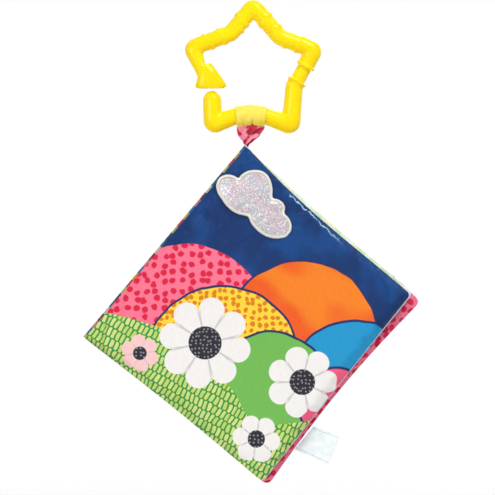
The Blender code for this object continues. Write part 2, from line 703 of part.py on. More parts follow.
def main():
    clear_scene()
    yellow = material("star_plastic", (1.0, 0.72, 0.0), 0.28)
    band = material("loop_satin", (0.90, 0.72, 0.10), 0.45)
    pink = material("spotted_pink_cotton", (0.86, 0.17, 0.24), 0.75)
    blue = material("printed_cover_satin", (0.012, 0.075, 0.27), 0.55)
    cyan = material("cyan_page_satin", (0.10, 0.42, 0.62), 0.55)
    lime = material("lime_page_satin", (0.66, 0.74, 0.22), 0.55)
    lilac = material("lilac_page_satin", (0.42, 0.50, 0.75), 0.55)
    pink_lining = material("spotted_pink_lining", (0.85, 0.18, 0.25), 0.75)
    stripe = material("striped_spine_satin", (0.55, 0.05, 0.07), 0.6)
    stripe_back = material("striped_back_fold_satin", (0.10, 0.35, 0.30), 0.6)
    fill = material("polyester_wadding", (0.85, 0.85, 0.83), 0.95)
    fill_page = material("page_wadding", (0.85, 0.85, 0.82), 0.95)
    fill_back = material("back_wadding", (0.84, 0.85, 0.83), 0.95)
    film = material("crinkle_film", (0.75, 0.77, 0.80), 0.2)
    film_page = material("page_crinkle_film", (0.75, 0.78, 0.80), 0.2)
    film_back = material("back_crinkle_film", (0.74, 0.77, 0.80), 0.2)
    glitter = material("glitter_fabric", (0.60, 0.55, 0.60), 0.3, 0.5)
    foam = material("cloud_foam", (0.88, 0.87, 0.84), 0.95)
    cream = material("satin_stitch_thread", (0.80, 0.74, 0.60), 0.5)
    tape = material("woven_label_tape", (0.78, 0.84, 0.86), 0.8)
    blue_hem = material("printed_hem_satin", (0.012, 0.08, 0.27), 0.55)
    stripe_page = material("striped_page_fold_satin", (0.55, 0.06, 0.08), 0.6)

    _, path = star_link(yellow)

    bar = (path[7] + path[8]) / 2
    loop_pivot = empty("loop_pivot", bar)
    loop_band(band, loop_pivot)
    spine_top = Vector((-NECK_SLANT, 0.0, -neck_seat() - NECK_DROP))
    book = empty("book_frame", spine_top, loop_pivot, -HANG_ANGLE)
    loop_neck(pink, loop_pivot, spine_top)

    back_axis = Vector((0.0, HINGE_DEPTH, BACK_FOLD_SHIFT - FOLD_INSET))
    front_axis = Vector((0.0, -HINGE_DEPTH, -FOLD_INSET))
    page_hinge = empty("page_hinge", back_axis, book)
    cover_hinge = empty("cover_hinge", front_axis - back_axis, page_hinge)

    # Back cover: lining towards the page, spotted outer face behind
    spine_inset = FOLD_INSET + PANEL_SPINE_GAP
    outline = rounded_outline(
        BACK_TOP_WIDTH, BACK_FOOT_WIDTH, TOP_EDGE_DROP, spine_inset, 0.0, BACK_FORE_DRAW_IN, SIDE_DRAW_IN
    )
    seam = HINGE_DEPTH + SEAM_SETBACK
    zero = Vector()
    cloth_skin("back_cover_lining", outline, seam - GAP / 2, LINING_CROWN, -1, pink_lining, book, zero)
    cloth_skin("back_cover_face", outline, seam + GAP / 2, OUTER_CROWN, 1, pink, book, zero)
    film_sheet("back_cover_crinkle_film", outline, seam, OUTER_CROWN, 1, film_back, book, zero)
    wadding("back_cover_wadding", outline, seam, LINING_CROWN, OUTER_CROWN, 1, fill_back, book, zero)
    fold("spine_back_fold", back_axis, stripe_back, book, zero)
    hem("back_cover_hem", back_axis, 1, stripe, book, zero)
    label_x = LABEL_FROM_FOOT - SPINE_LENGTH
    half_label = LABEL_WIDTH / 2
    edge_z = min(free_edge(outline, label_x + step) for step in (-half_label, half_label))

    # Label on the back cover's free edge
    label_axis = Vector((label_x, seam, edge_z - GAP - LABEL_THICKNESS / 2))
    label_hinge = empty("label_hinge", label_axis, book)
    label(tape, label_hinge, label_axis, edge_z)

    # Page: a padded leaf between the covers
    outline = rounded_outline(
        PAGE_TOP_WIDTH, PAGE_FOOT_WIDTH, PAGE_TOP_DROP, spine_inset, PAGE_FOOT_INSET,
        SIDE_DRAW_IN, SIDE_DRAW_IN,
    )
    cloth_skin("page_front_face", outline, -GAP / 2, PAGE_CROWN, -1, lime, page_hinge, back_axis)
    cloth_skin("page_back_face", outline, GAP / 2, PAGE_CROWN, 1, lilac, page_hinge, back_axis)
    film_sheet("page_crinkle_film", outline, 0.0, PAGE_CROWN, -1, film_page, page_hinge, back_axis)
    wadding("page_wadding", outline, 0.0, PAGE_CROWN, PAGE_CROWN, -1, fill_page, page_hinge, back_axis)
    fold("spine_front_fold", front_axis, stripe_page, page_hinge, back_axis)

    # Front cover: printed outer face, lining towards the page
    outline = rounded_outline(
        FRONT_TOP_WIDTH, FRONT_FOOT_WIDTH, TOP_EDGE_DROP, spine_inset, 0.0, SIDE_DRAW_IN, FRONT_TOP_DRAW_IN
    )
    seam = -HINGE_DEPTH - SEAM_SETBACK
    cloth_skin("front_cover_face", outline, seam - GAP / 2, OUTER_CROWN, -1, blue, cover_hinge, front_axis)
    cloth_skin("front_cover_lining", outline, seam + GAP / 2, LINING_CROWN, 1, cyan, cover_hinge, front_axis)
    film_sheet("front_cover_crinkle_film", outline, seam, OUTER_CROWN, -1, film, cover_hinge, front_axis)
    wadding(
        "front_cover_wadding", outline, seam, OUTER_CROWN, LINING_CROWN, -1, fill, cover_hinge, front_axis
    )
    hem("front_cover_hem", front_axis, -1, blue_hem, cover_hinge, front_axis)
    face = seam - GAP / 2
    inside = CLOUD_BORDER + GAP
    cloud_patch("cloud_foam_pad", outline, face, inside + GAP, GAP, CLOUD_PAD, foam, cover_hinge, front_axis)
    cloud_patch(
        "cloud_applique", outline, face, inside, 2 * GAP + CLOUD_PAD, CLOTH, glitter, cover_hinge, front_axis
    )
    cloud_rope("cloud_satin_stitch", outline, face, cream, cover_hinge, front_axis)


main()
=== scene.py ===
import math

import bpy
import numpy as np
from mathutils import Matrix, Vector


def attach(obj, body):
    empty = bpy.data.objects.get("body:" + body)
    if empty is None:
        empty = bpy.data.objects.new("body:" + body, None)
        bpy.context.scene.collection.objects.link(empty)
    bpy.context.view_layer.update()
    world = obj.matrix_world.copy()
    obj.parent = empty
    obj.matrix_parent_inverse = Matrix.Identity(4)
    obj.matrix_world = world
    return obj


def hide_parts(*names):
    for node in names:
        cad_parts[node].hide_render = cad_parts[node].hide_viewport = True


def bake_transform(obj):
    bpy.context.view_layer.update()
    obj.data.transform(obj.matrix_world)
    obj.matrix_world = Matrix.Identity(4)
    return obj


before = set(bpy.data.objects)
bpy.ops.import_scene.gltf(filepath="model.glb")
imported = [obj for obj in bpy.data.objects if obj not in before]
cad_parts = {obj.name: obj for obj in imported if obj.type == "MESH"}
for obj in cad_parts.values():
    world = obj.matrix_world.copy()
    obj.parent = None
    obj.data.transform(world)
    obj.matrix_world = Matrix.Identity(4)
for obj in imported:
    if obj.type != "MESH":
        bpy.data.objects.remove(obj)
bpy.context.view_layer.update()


# Star link: one solid moulding of glossy yellow plastic, injected in a two-part tool. A gate in
# its left side springs open to clip it on a pram, and small nubs on its arms give a grip.

star_width = 0.0803
tube_radius = 0.0049
tip_radius = 0.0070
inner_radius = 0.0010
tube_sides = 32
corner_steps = 8
station_step = 0.0007
nub_height = 0.0007
nub_half_width = 0.0021
collar_height = 0.0009
collar_half_width = 0.0012
necked_depth = 0.0008
neck_ramp = 0.0005
stub_steps = 9
round_section, gate_section = 2.0, 2.5

# The tube's centre line from the left point over the top to the stub, in shares of the width
star_path = [
    Vector((x * star_width, 0.0, z * star_width))
    for x, z in (
        (-0.4595, -0.213), (-0.173, -0.105), (-0.006, 0.091), (0.186, -0.133), (0.440, -0.229),
        (0.293, -0.496), (0.268, -0.781), (0.094, -0.7185), (-0.148, -0.7185), (-0.305, -0.775),
        (-0.311, -0.598),
    )
]

# The gate's flared end, from its flat foot up to the arm: outer side, inner side, depth
gate_end = (
    ((-0.411, -0.512), (-0.232, -0.510), 0.90),
    ((-0.428, -0.507), (-0.214, -0.503), 0.94),
    ((-0.434, -0.500), (-0.208, -0.487), 0.97),
    ((-0.430, -0.470), (-0.214, -0.470), 1.0),
    ((-0.417, -0.432), (-0.262, -0.398), 1.0),
    ((-0.428, -0.400), (-0.318, -0.322), 1.0),
    ((-0.444, -0.372), (-0.360, -0.330), 1.0),
)

# Nubs: arm of the path, share of its length, side (1 outer, -1 inner)
nubs = (
    (0, 0.36, 1), (0, 0.47, -1), (0, 0.74, 1), (0, 0.80, -1), (1, 0.24, -1), (1, 0.46, -1),
    (1, 0.52, 1), (2, 0.40, 1), (2, 0.48, -1), (2, 0.78, 1), (3, 0.20, -1), (3, 0.55, -1),
    (3, 0.62, 1),
)
collar_arm = 4
collars = (0.44, 0.87)

# The tube's radius at each turn of the path: the plain lower arms are the stoutest
tube_radii = (0.0048, 0.0049, 0.0050, 0.0049, 0.0050, 0.0051, 0.0055, 0.0049, 0.0049, 0.0055, 0.0054)


def arm_directions(start, end):
    along = (end - start).normalized()
    return along, Vector((-along.z, 0.0, along.x))


def swell(distance, half_width):
    """A rounded bump, 1 in its middle and 0 past half_width."""
    return 0.5 + 0.5 * math.cos(math.pi * min(1.0, abs(distance) / half_width))


def corner_slices(before, corner, after, radius):
    first, outer_1 = arm_directions(before, corner)
    second, outer_2 = arm_directions(corner, after)
    side = 1.0 if first.x * second.z - first.z * second.x > 0 else -1.0
    bisector = (second - first).normalized()
    half = math.acos(max(-1.0, min(1.0, first.dot(-second)))) / 2
    wide = corner + bisector * (tip_radius - radius) / math.sin(half)
    tight = corner + bisector * (radius + inner_radius) / math.sin(half)
    slices = []
    for step in range(2 * corner_steps + 1):
        facing = (outer_1 * side).slerp(outer_2 * side, step / (2 * corner_steps))
        far, near = wide - facing * tip_radius, tight - facing * inner_radius
        pair = (near, far) if side > 0 else (far, near)
        slices.append((*pair, radius, round_section))
    return slices, (radius + inner_radius) / math.tan(half)


def arm_slices(arm, start, end, low, high):
    along, outer = arm_directions(start, end)
    length = (end - start).length
    count = max(2, round((high - low) / station_step))
    slices = []
    for step in range(count + 1):
        at = low + (high - low) * step / count
        radius = tube_radii[arm] + (tube_radii[arm + 1] - tube_radii[arm]) * at / length
        sides = {1: radius, -1: radius}
        depth = radius
        if arm == collar_arm:
            ends = [share * length for share in collars]
            waist = min(1.0, max(0.0, (at - ends[0]) / neck_ramp), max(0.0, (ends[1] - at) / neck_ramp))
            ring = max(swell(at - place, collar_half_width) for place in ends)
            change = (collar_height + necked_depth) * ring - necked_depth * max(waist, ring)
            sides = {side: radius + change for side, radius in sides.items()}
            depth += change
        for number, share, side in nubs:
            if number == arm:
                sides[side] += nub_height * swell(at - share * length, nub_half_width)
        middle = start + along * at
        slices.append((middle + outer * sides[1], middle - outer * sides[-1], depth, round_section))
    return slices


slices = [
    (
        Vector((a[0] * star_width, 0.0, a[1] * star_width)),
        Vector((b[0] * star_width, 0.0, b[1] * star_width)),
        tube_radius * depth,
        gate_section,
    )
    for a, b, depth in gate_end
]
corner, reach = corner_slices(
    (slices[-1][0] + slices[-1][1]) / 2, star_path[0], star_path[1], tube_radii[0]
)
slices += corner
for arm in range(len(star_path) - 2):
    corner, ahead = corner_slices(*star_path[arm : arm + 3], tube_radii[arm + 1])
    length = (star_path[arm + 1] - star_path[arm]).length
    slices += arm_slices(
        arm, star_path[arm], star_path[arm + 1], reach + station_step, length - ahead - station_step
    )
    slices += corner
    reach = ahead
stub_end, stub_outer = arm_directions(star_path[-2], star_path[-1])
for step in range(stub_steps):
    angle = math.pi / 2 * step / stub_steps
    middle = star_path[-1] + stub_end * tube_radii[-1] * math.sin(angle)
    radius = tube_radii[-1] * math.cos(angle)
    side = stub_outer * radius
    slices.append((middle + side, middle - side, radius, round_section))

star_points = []
for outside, inside, depth, squareness in slices:
    middle, arm = (outside + inside) / 2, (outside - inside) / 2
    for k in range(tube_sides):
        angle = 2 * math.pi * k / tube_sides
        across = math.copysign(abs(math.cos(angle)) ** (2 / squareness), math.cos(angle))
        through = math.copysign(abs(math.sin(angle)) ** (2 / squareness), math.sin(angle))
        star_points.append(middle + arm * across + Vector((0.0, depth * through, 0.0)))
star_faces = [
    (n + k, n + (k + 1) % tube_sides, n + tube_sides + (k + 1) % tube_sides, n + tube_sides + k)
    for n in range(0, (len(slices) - 1) * tube_sides, tube_sides)
    for k in range(tube_sides)
]
star_faces.append(tuple(range(tube_sides))[::-1])
star_points.append(star_path[-1] + stub_end * tube_radii[-1])
last_ring = (len(slices) - 1) * tube_sides
star_faces += [
    (last_ring + k, last_ring + (k + 1) % tube_sides, len(star_points) - 1)
    for k in range(tube_sides)
]


def new_piece(name, mesh):
    piece = bpy.data.objects.new(name, mesh)
    bpy.context.scene.collection.objects.link(piece)
    return piece


star_mesh = bpy.data.meshes.new("star_link")
star_mesh.from_pydata([tuple(p) for p in star_points], [], [face[::-1] for face in star_faces])
star_mesh.update()
star_mesh.shade_smooth()
star_mesh.set_sharp_from_angle(angle=math.radians(50))
star = new_piece("star_link", star_mesh)


def dye(code):
    """The linear colour of a six-figure colour code."""
    parts = [int(code[k : k + 2], 16) / 255 for k in (0, 2, 4)]
    return (*(c / 12.92 if c <= 0.04045 else ((c + 0.055) / 1.055) ** 2.4 for c in parts), 1.0)


def new_finish(name, **settings):
    """A material with its shader's own sockets set. Returns the material, its tree and shader."""
    finish = bpy.data.materials.new(name)
    finish.use_nodes = True
    shader = finish.node_tree.nodes["Principled BSDF"]
    for socket, value in settings.items():
        shader.inputs[socket.replace("_", " ")].default_value = value
    return finish, finish.node_tree, shader


def feed(tree, socket, value):
    """Links value to the socket where it is an output, and otherwise sets it."""
    if isinstance(value, bpy.types.NodeSocket):
        tree.links.new(value, socket)
    else:
        socket.default_value = value


def sum_of(tree, operation, *values):
    made = tree.nodes.new("ShaderNodeMath")
    made.operation = operation
    for socket, value in zip(made.inputs, values):
        feed(tree, socket, value)
    return made.outputs[0]


def ramp_of(tree, value, low, high, to_low=0.0, to_high=1.0):
    """A soft step from to_low to to_high as value goes from low to high."""
    made = tree.nodes.new("ShaderNodeMapRange")
    made.interpolation_type = "SMOOTHSTEP"
    for name, given in (
        ("Value", value), ("From Min", low), ("From Max", high), ("To Min", to_low), ("To Max", to_high)
    ):
        feed(tree, made.inputs[name], given)
    return made.outputs["Result"]


def laid_over(tree, under, over, mask):
    """Colour over laid on colour under where the mask is 1."""
    made = tree.nodes.new("ShaderNodeMix")
    made.data_type = "RGBA"
    feed(tree, made.inputs[0], mask)
    feed(tree, made.inputs[6], under)
    feed(tree, made.inputs[7], over)
    return made.outputs[2]


def noise_of(tree, place, scale, detail=2.0, roughness=0.5):
    made = tree.nodes.new("ShaderNodeTexNoise")
    tree.links.new(place, made.inputs["Vector"])
    made.inputs["Scale"].default_value = scale
    made.inputs["Detail"].default_value = detail
    made.inputs["Roughness"].default_value = roughness
    return made.outputs[0]


def place_on(tree, kind="UV"):
    """The place on the flat cloth in millimetres, or with Object the place in metres."""
    return tree.nodes.new("ShaderNodeTexCoord").outputs[kind]


def parts_of(tree, place):
    """The X, Y and Z of a place."""
    made = tree.nodes.new("ShaderNodeSeparateXYZ")
    tree.links.new(place, made.inputs[0])
    return made.outputs


def surfaced(tree, shader, colour, roughness, height, distance):
    """Gives a shader its colour, its roughness and relief of height times distance in metres."""
    made = tree.nodes.new("ShaderNodeBump")
    made.inputs["Distance"].default_value = distance
    tree.links.new(height, made.inputs["Height"])
    for name, value in (("Base Color", colour), ("Roughness", roughness), ("Normal", made.outputs["Normal"])):
        tree.links.new(value, shader.inputs[name])


star_plastic, tree, shader = new_finish(
    "star_plastic", IOR=1.49, Specular_IOR_Level=0.14, Coat_Weight=0.10, Coat_Roughness=0.15,
    Subsurface_Weight=0.5, Subsurface_Radius=(0.008, 0.0030, 0.0002),
)
place = place_on(tree, "Object")
flow = noise_of(tree, place, 55.0, 3.0)
shade = laid_over(tree, dye("FFD600"), dye("FFDC00"), ramp_of(tree, flow, 0.35, 0.65))
# The mould's parting line runs round the middle of the tube, a little darker and raised
parting_half_width = 0.00010
parting = sum_of(tree, "ABSOLUTE", parts_of(tree, place)["Y"])
parting = ramp_of(tree, parting, parting_half_width, 3 * parting_half_width, 1.0, 0.0)
shade = laid_over(tree, shade, dye("F2BE00"), sum_of(tree, "MULTIPLY", parting, 0.35))
grain = noise_of(tree, place, 900.0, 2.0)
height = sum_of(tree, "ADD", sum_of(tree, "MULTIPLY", grain, 0.08), sum_of(tree, "MULTIPLY", flow, 0.6))
height = sum_of(tree, "ADD", height, sum_of(tree, "MULTIPLY", parting, 0.5))
surfaced(tree, shader, shade, ramp_of(tree, grain, 0.3, 0.7, 0.24, 0.36), height, 0.0002)
star_mesh.materials.append(star_plastic)
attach(star, "star")
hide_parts("star_ring")


# Loop band: a ribbon of pale yellow satin that goes once round the star's foot bar. Its ends
# meet below, where the neck is sewn on, and the gathering there creases it.

bar = (star_path[7] + star_path[8]) / 2
band_inner = tube_radius + 0.0004
band_thickness = 0.0008
band_width = 0.0183
band_foot_width = 0.0158
band_least_radius = 0.00495
crease_depth = 0.00022
deep_crease = 0.00085


def cloth_grid(name, points, cloth_mm, closed=False, flip=False):
    """A sheet from rows of points, with a UV map in millimetres of the flat cloth."""
    rows, columns = points.shape[:2]
    faces = []
    corners = []
    for i in range(rows - 1):
        for j in range(columns if closed else columns - 1):
            k = (j + 1) % columns
            face = [i * columns + j, i * columns + k, (i + 1) * columns + k, (i + 1) * columns + j]
            uv = [cloth_mm[i][j], cloth_mm[i][j + 1], cloth_mm[i + 1][j + 1], cloth_mm[i + 1][j]]
            faces.append(face[::-1] if flip else face)
            corners += uv[::-1] if flip else uv
    mesh = bpy.data.meshes.new(name)
    mesh.from_pydata(points.reshape(-1, 3).tolist(), [], faces)
    mesh.uv_layers.new(name="cloth").data.foreach_set("uv", np.array(corners, float).ravel())
    mesh.shade_smooth()
    return new_piece(name, mesh)


band_around, band_across = 120, 28
section = []
# Round the ribbon's section: share across it, and 0 at the bar to 1 outside
for side, start in ((1.0, 1.0), (-1.0, 0.0)):
    section += [(side * (-1.0 + 2.0 * k / band_across), start) for k in range(band_across + 1)]
    section += [(side, start - side * turn) for turn in (0.25, 0.5, 0.75)]
points = np.zeros((band_around + 1, len(section), 3))
cloth_mm = np.zeros((band_around + 1, len(section) + 1, 2))
for i in range(band_around + 1):
    angle = 2 * math.pi * i / band_around
    below = 0.5 - 0.5 * math.cos(angle)
    half = (band_width + (band_foot_width - band_width) * below) / 2
    for j in range(len(section) + 1):
        side, out = section[j % len(section)]
        pinch = min(1.0, max(0.0, (below - 0.38) / 0.35))
        crease = math.cos(side * 9.5 + 1.1 * math.sin(angle * 2)) * 0.6 + math.cos(side * 21.0 + 0.7) * 0.4
        deep = math.exp(-((side - 0.12) / 0.09) ** 2) + 0.35 * math.exp(-((side + 0.45) / 0.12) ** 2)
        lift = (crease_depth * crease - deep_crease * deep) * pinch
        lift += 0.00010 * math.cos(side * 5.0 + angle * 3)
        lift -= 0.00045 * math.exp(-((side - 0.12) / 0.40) ** 2) * below**3
        lift = lift if out > 0.5 else 0.6 * lift
        radius = max(band_least_radius, band_inner + band_thickness * out + lift)
        radius += (0.00020 + 0.00075 * (1 - below) ** 2) * (1 - side**2) * out
        bulge = 0.0003 * math.sin(math.pi * out) if abs(side) == 1.0 else 0.0
        if j < len(section):
            points[i, j] = (
                bar.x + side * (half + bulge), radius * math.sin(angle), bar.z + radius * math.cos(angle)
            )
        cloth_mm[i, j] = (side * half * 1000, angle * radius * 1000)
band = cloth_grid("loop_ribbon", points, cloth_mm, closed=True)


def new_group(name, inputs, outputs):
    """A shader node group. Returns the group, its input sockets and its output sockets."""
    group = bpy.data.node_groups.new(name, "ShaderNodeTree")
    for label, kind, value in inputs:
        socket = group.interface.new_socket(label, in_out="INPUT", socket_type="NodeSocket" + kind)
        if value is not None:
            socket.default_value = value
    for label, kind in outputs:
        group.interface.new_socket(label, in_out="OUTPUT", socket_type="NodeSocket" + kind)
    into = group.nodes.new("NodeGroupInput").outputs
    out = group.nodes.new("NodeGroupOutput").inputs
    return group, into, out


def placed(tree, group, **values):
    """The group set in a tree with these inputs. Returns its outputs."""
    made = tree.nodes.new("ShaderNodeGroup")
    made.node_tree = group
    for name, value in values.items():
        feed(tree, made.inputs[name.replace("_", " ")], value)
    return made.outputs


# Weave: warp and weft threads at a pitch in millimetres, with uneven threads and soft rumples
weave, into, out = new_group(
    "cloth_weave",
    [("Place", "Vector", None), ("Pitch", "Float", 0.4), ("Float Share", "Float", 0.5)],
    [("Height", "Float"), ("Thread Shade", "Float"), ("Rumple", "Float")],
)
apart = parts_of(weave, into["Place"])
wander = sum_of(weave, "MULTIPLY", noise_of(weave, into["Place"], 0.35, 1.0), 1.2)
turns = []
for axis in ("X", "Y"):
    along = sum_of(weave, "ADD", apart[axis], wander)
    count = sum_of(weave, "DIVIDE", along, into["Pitch"])
    turns.append(sum_of(weave, "SINE", sum_of(weave, "MULTIPLY", count, 2 * math.pi)))
plain = sum_of(weave, "MULTIPLY", turns[0], turns[1])
floats = sum_of(weave, "MULTIPLY", turns[0], into["Float Share"])
rest = sum_of(weave, "MULTIPLY", plain, sum_of(weave, "SUBTRACT", 1.0, into["Float Share"]))
weave.links.new(sum_of(weave, "ADD", floats, rest), out["Height"])
weave.links.new(
    ramp_of(weave, noise_of(weave, into["Place"], 1.7, 3.0, 0.7), 0.3, 0.7), out["Thread Shade"]
)
weave.links.new(noise_of(weave, into["Place"], 0.09, 3.0, 0.55), out["Rumple"])


def woven(tree, shader, colour, pitch, float_share, depth, rough, darkening=0.10, rumple=0.0):
    """Gives a shader a cloth's colour, thread relief and uneven sheen, from its own UV map."""
    place = place_on(tree)
    threads = placed(tree, weave, Place=place, Pitch=pitch, Float_Share=float_share)
    dark = tree.nodes.new("ShaderNodeMix")
    dark.data_type = "RGBA"
    dark.blend_type = "MULTIPLY"
    feed(tree, dark.inputs[0], sum_of(tree, "MULTIPLY", threads["Thread Shade"], darkening))
    feed(tree, dark.inputs[6], colour)
    dark.inputs[7].default_value = (0.55, 0.53, 0.58, 1.0)
    roughness = ramp_of(tree, threads["Thread Shade"], 0.0, 1.0, *rough)
    height = threads["Height"]
    if rumple:
        height = sum_of(tree, "ADD", height, sum_of(tree, "MULTIPLY", threads["Rumple"], rumple))
    surfaced(tree, shader, dark.outputs[2], roughness, height, depth)


loop_satin, tree, shader = new_finish(
    "loop_satin", Specular_IOR_Level=0.3, Sheen_Weight=0.08, Sheen_Roughness=0.4
)
shading = ramp_of(tree, noise_of(tree, place_on(tree), 0.25), 0.35, 0.65)
pale = laid_over(tree, dye("F3DA48"), dye("F7E15C"), shading)
woven(tree, shader, pale, 0.30, 0.8, 0.00003, (0.38, 0.52), 0.08, 0.6)
band.data.materials.append(loop_satin)
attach(band, "back_cover")
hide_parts("loop_band")


# Loop neck: the ends of the loop in spotted pink cotton, gathered into deep pleats under the
# band, twisted a little and sewn down to the top end of the spine.

hang_angle = math.radians(49.87)
up_spine = Vector((math.cos(hang_angle), 0.0, math.sin(hang_angle)))
to_free_edge = Vector((math.sin(hang_angle), 0.0, -math.cos(hang_angle)))
neck_gap = 0.0003
neck_top = bar + Vector((0.0, 0.0, -(band_inner + band_thickness + neck_gap)))
spine_top = neck_top + Vector((-0.0028, 0.0, -0.0110))
neck_foot = spine_top - to_free_edge * 0.0004 + up_spine * 0.0001
neck_tuck = 0.0012
neck_around, neck_along = 120, 48
neck_twist = 1.9
turn_in_from = 0.72
pleat_depth = 0.00078
neck_girth_mm, neck_slant_mm, neck_length_mm = 4.6, 3.0, 13.0

# Share of the way down: half width, half depth, shift to the right
neck_sizes = (
    (0.0, 0.0078, 0.0032, 0.0), (0.10, 0.0084, 0.0034, 0.0), (0.28, 0.0078, 0.0034, 0.0003),
    (0.48, 0.0062, 0.0032, 0.0007), (0.66, 0.0042, 0.0028, 0.0006), (0.80, 0.0028, 0.0024, 0.0002),
    (0.90, 0.0021, 0.0021, 0.0), (1.0, 0.0023, 0.0021, 0.0),
)


def between(stations, at):
    """The sizes at a share of the way, in straight lines between the stations."""
    for (a, *low), (b, *high) in zip(stations, stations[1:]):
        if at <= b:
            share = (at - a) / (b - a)
            return [x + (y - x) * share for x, y in zip(low, high)]
    return list(stations[-1][1:])


points = np.zeros((neck_along + 1, neck_around, 3))
cloth_mm = np.zeros((neck_along + 1, neck_around + 1, 2))
for i in range(neck_along + 1):
    share = i / neck_along
    middle = (neck_top + Vector((0.0, 0.0, neck_tuck))).lerp(neck_foot, share)
    turn_in = max(0.0, (share - turn_in_from) / (1 - turn_in_from))
    across = Vector((1.0, 0.0, 0.0)).lerp(to_free_edge, turn_in).normalized()
    half_width, half_depth, shift = between(neck_sizes, share)
    for j in range(neck_around + 1):
        angle = 2 * math.pi * j / neck_around
        twist = angle + neck_twist * share**1.4
        pleat = math.cos(5 * twist + 0.9 * math.sin(2 * angle))
        pleat += 0.5 * math.cos(9 * twist + 1.0 + 3 * share)
        pleat -= 1.5 * math.exp(-((math.cos(angle) - 0.10 + 0.30 * share) / 0.10) ** 2)
        ridge = math.exp(-((math.cos(angle) + 0.30 - 0.9 * share) / 0.14) ** 2)
        pleat += 0.7 * ridge * math.sin(math.pi * share)
        deep = pleat_depth * min(1.0, 0.45 + 2.4 * share) * min(1.0, 3.2 * (1.08 - share))
        x = (half_width - 0.0004 + deep * pleat) * math.cos(angle) + shift
        y = (half_depth - 0.0003 + deep * pleat * 1.3) * math.sin(angle)
        place = middle + across * x + Vector((0.0, y, 0.0))
        if j < neck_around:
            points[i, j] = place
        cloth_mm[i, j] = (angle * neck_girth_mm + share * neck_slant_mm, -share * neck_length_mm)
neck = cloth_grid("loop_gathers", points, cloth_mm, closed=True, flip=True)


def stirred(tree, place, scale, detail, most):
    """The place moved about by noise, by up to a vector of millimetres."""
    noise = tree.nodes.new("ShaderNodeTexNoise")
    noise.inputs["Scale"].default_value = scale
    noise.inputs["Detail"].default_value = detail
    tree.links.new(place, noise.inputs["Vector"])
    made = tree.nodes.new("ShaderNodeVectorMath")
    made.operation = "MULTIPLY_ADD"
    tree.links.new(noise.outputs["Color"], made.inputs[0])
    feed(tree, made.inputs[1], most)
    tree.links.new(place, made.inputs[2])
    return made.outputs[0]


def cells_of(tree, place, size, randomness=1.0):
    """Random cells of a size in millimetres. Returns their distance and colour, by name."""
    scaled = tree.nodes.new("ShaderNodeVectorMath")
    scaled.operation = "SCALE"
    tree.links.new(place, scaled.inputs[0])
    tree.links.new(sum_of(tree, "DIVIDE", 1.0, size), scaled.inputs["Scale"])
    made = tree.nodes.new("ShaderNodeTexVoronoi")
    made.voronoi_dimensions = "2D"
    made.inputs["Scale"].default_value = 1.0
    made.inputs["Randomness"].default_value = randomness
    tree.links.new(scaled.outputs[0], made.inputs["Vector"])
    return made.outputs


# Spots: one irregular patch in each cell of a spacing in millimetres
spots, into, out = new_group(
    "spotted_print",
    [("Place", "Vector", None), ("Spacing", "Float", 5.0), ("Size", "Float", 0.32), ("Ragged", "Float", 0.3)],
    [("Spot", "Float"), ("Tone", "Float")],
)
ragged = spots.nodes.new("ShaderNodeCombineXYZ")
for axis in range(3):
    spots.links.new(sum_of(spots, "MULTIPLY", into["Ragged"], into["Spacing"]), ragged.inputs[axis])
uneven_place = stirred(spots, into["Place"], 0.30, 1.0, ragged.outputs[0])
cells = cells_of(spots, uneven_place, into["Spacing"], 0.55)
edge = sum_of(spots, "SUBTRACT", cells["Distance"], into["Size"])
spots.links.new(ramp_of(spots, edge, -0.04, 0.04, 1.0, 0.0), out["Spot"])
tint = spots.nodes.new("ShaderNodeSeparateColor")
spots.links.new(cells["Color"], tint.inputs[0])
spots.links.new(tint.outputs[0], out["Tone"])


def spotted(tree, ground, spot, spot_too, spacing, size, ragged=0.3):
    """Colours of a spotted cloth, from its own UV map."""
    made = placed(tree, spots, Place=place_on(tree), Spacing=spacing, Size=size, Ragged=ragged)
    return laid_over(tree, ground, laid_over(tree, spot, spot_too, made["Tone"]), made["Spot"])


neck_cotton, tree, shader = new_finish(
    "spotted_pink_neck_cotton", Specular_IOR_Level=0.4, Sheen_Weight=0.15, Sheen_Roughness=0.5
)
blotched = spotted(tree, dye("F890A6"), dye("D51743"), dye("B00A32"), 5.4, 0.42)
woven(tree, shader, blotched, 0.35, 0.2, 0.00003, (0.40, 0.55), 0.2)
neck.data.materials.append(neck_cotton)
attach(neck, "back_cover")
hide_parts("loop_neck")


# Back cover: a padded leaf of two cloths sewn face to face, turned and stuffed. Its outside and
# its lining are cut from one spotted pink cotton.

spine_length = 0.1483
back_axis_out, front_axis_out = 0.0017, 0.0021
axis_depth = 0.0022
seam_depth = 0.0046
panel_inset = 0.0036
outer_crown = 0.0034
lining_crown = 0.0021
page_crown = 0.0020
leaf_foot_gap = 0.0031
leaf_steps = 72
corner_points, side_points = 17, 61
top_skew = 1.35
gather_run_mm, gather_reach_mm, gather_depth = 132.0, 5.5, 0.00022
stuffing_scale = 10.0
stuffing_frames = 20
stuffing_push = 4.0
face_slack, face_most_blown = 0.04, 0.0013

# A padded face's rise from its seam, by the distance in from it in millimetres
rise_stations = ((0.0, 0.0), (0.15, 0.16), (0.4, 0.29), (0.8, 0.42), (1.6, 0.56), (2.7, 0.68),
                 (4.6, 0.79), (6.8, 0.86), (11.0, 0.925), (17.0, 0.96), (34.0, 1.0), (99.0, 1.0))


def on_book(down, out, depth):
    """World places from metres down the spine, out from it, and away from the viewer."""
    down, out, depth = np.broadcast_arrays(down, out, depth)
    return (
        np.array(spine_top)
        - down[..., None] * np.array(up_spine)
        + out[..., None] * np.array(to_free_edge)
        + depth[..., None] * np.array((0.0, 1.0, 0.0))
    )


def lengths_along(line):
    """The way run from a line's first point to each of its points."""
    return np.r_[0, np.cumsum(np.linalg.norm(np.diff(line, axis=0), axis=1))]


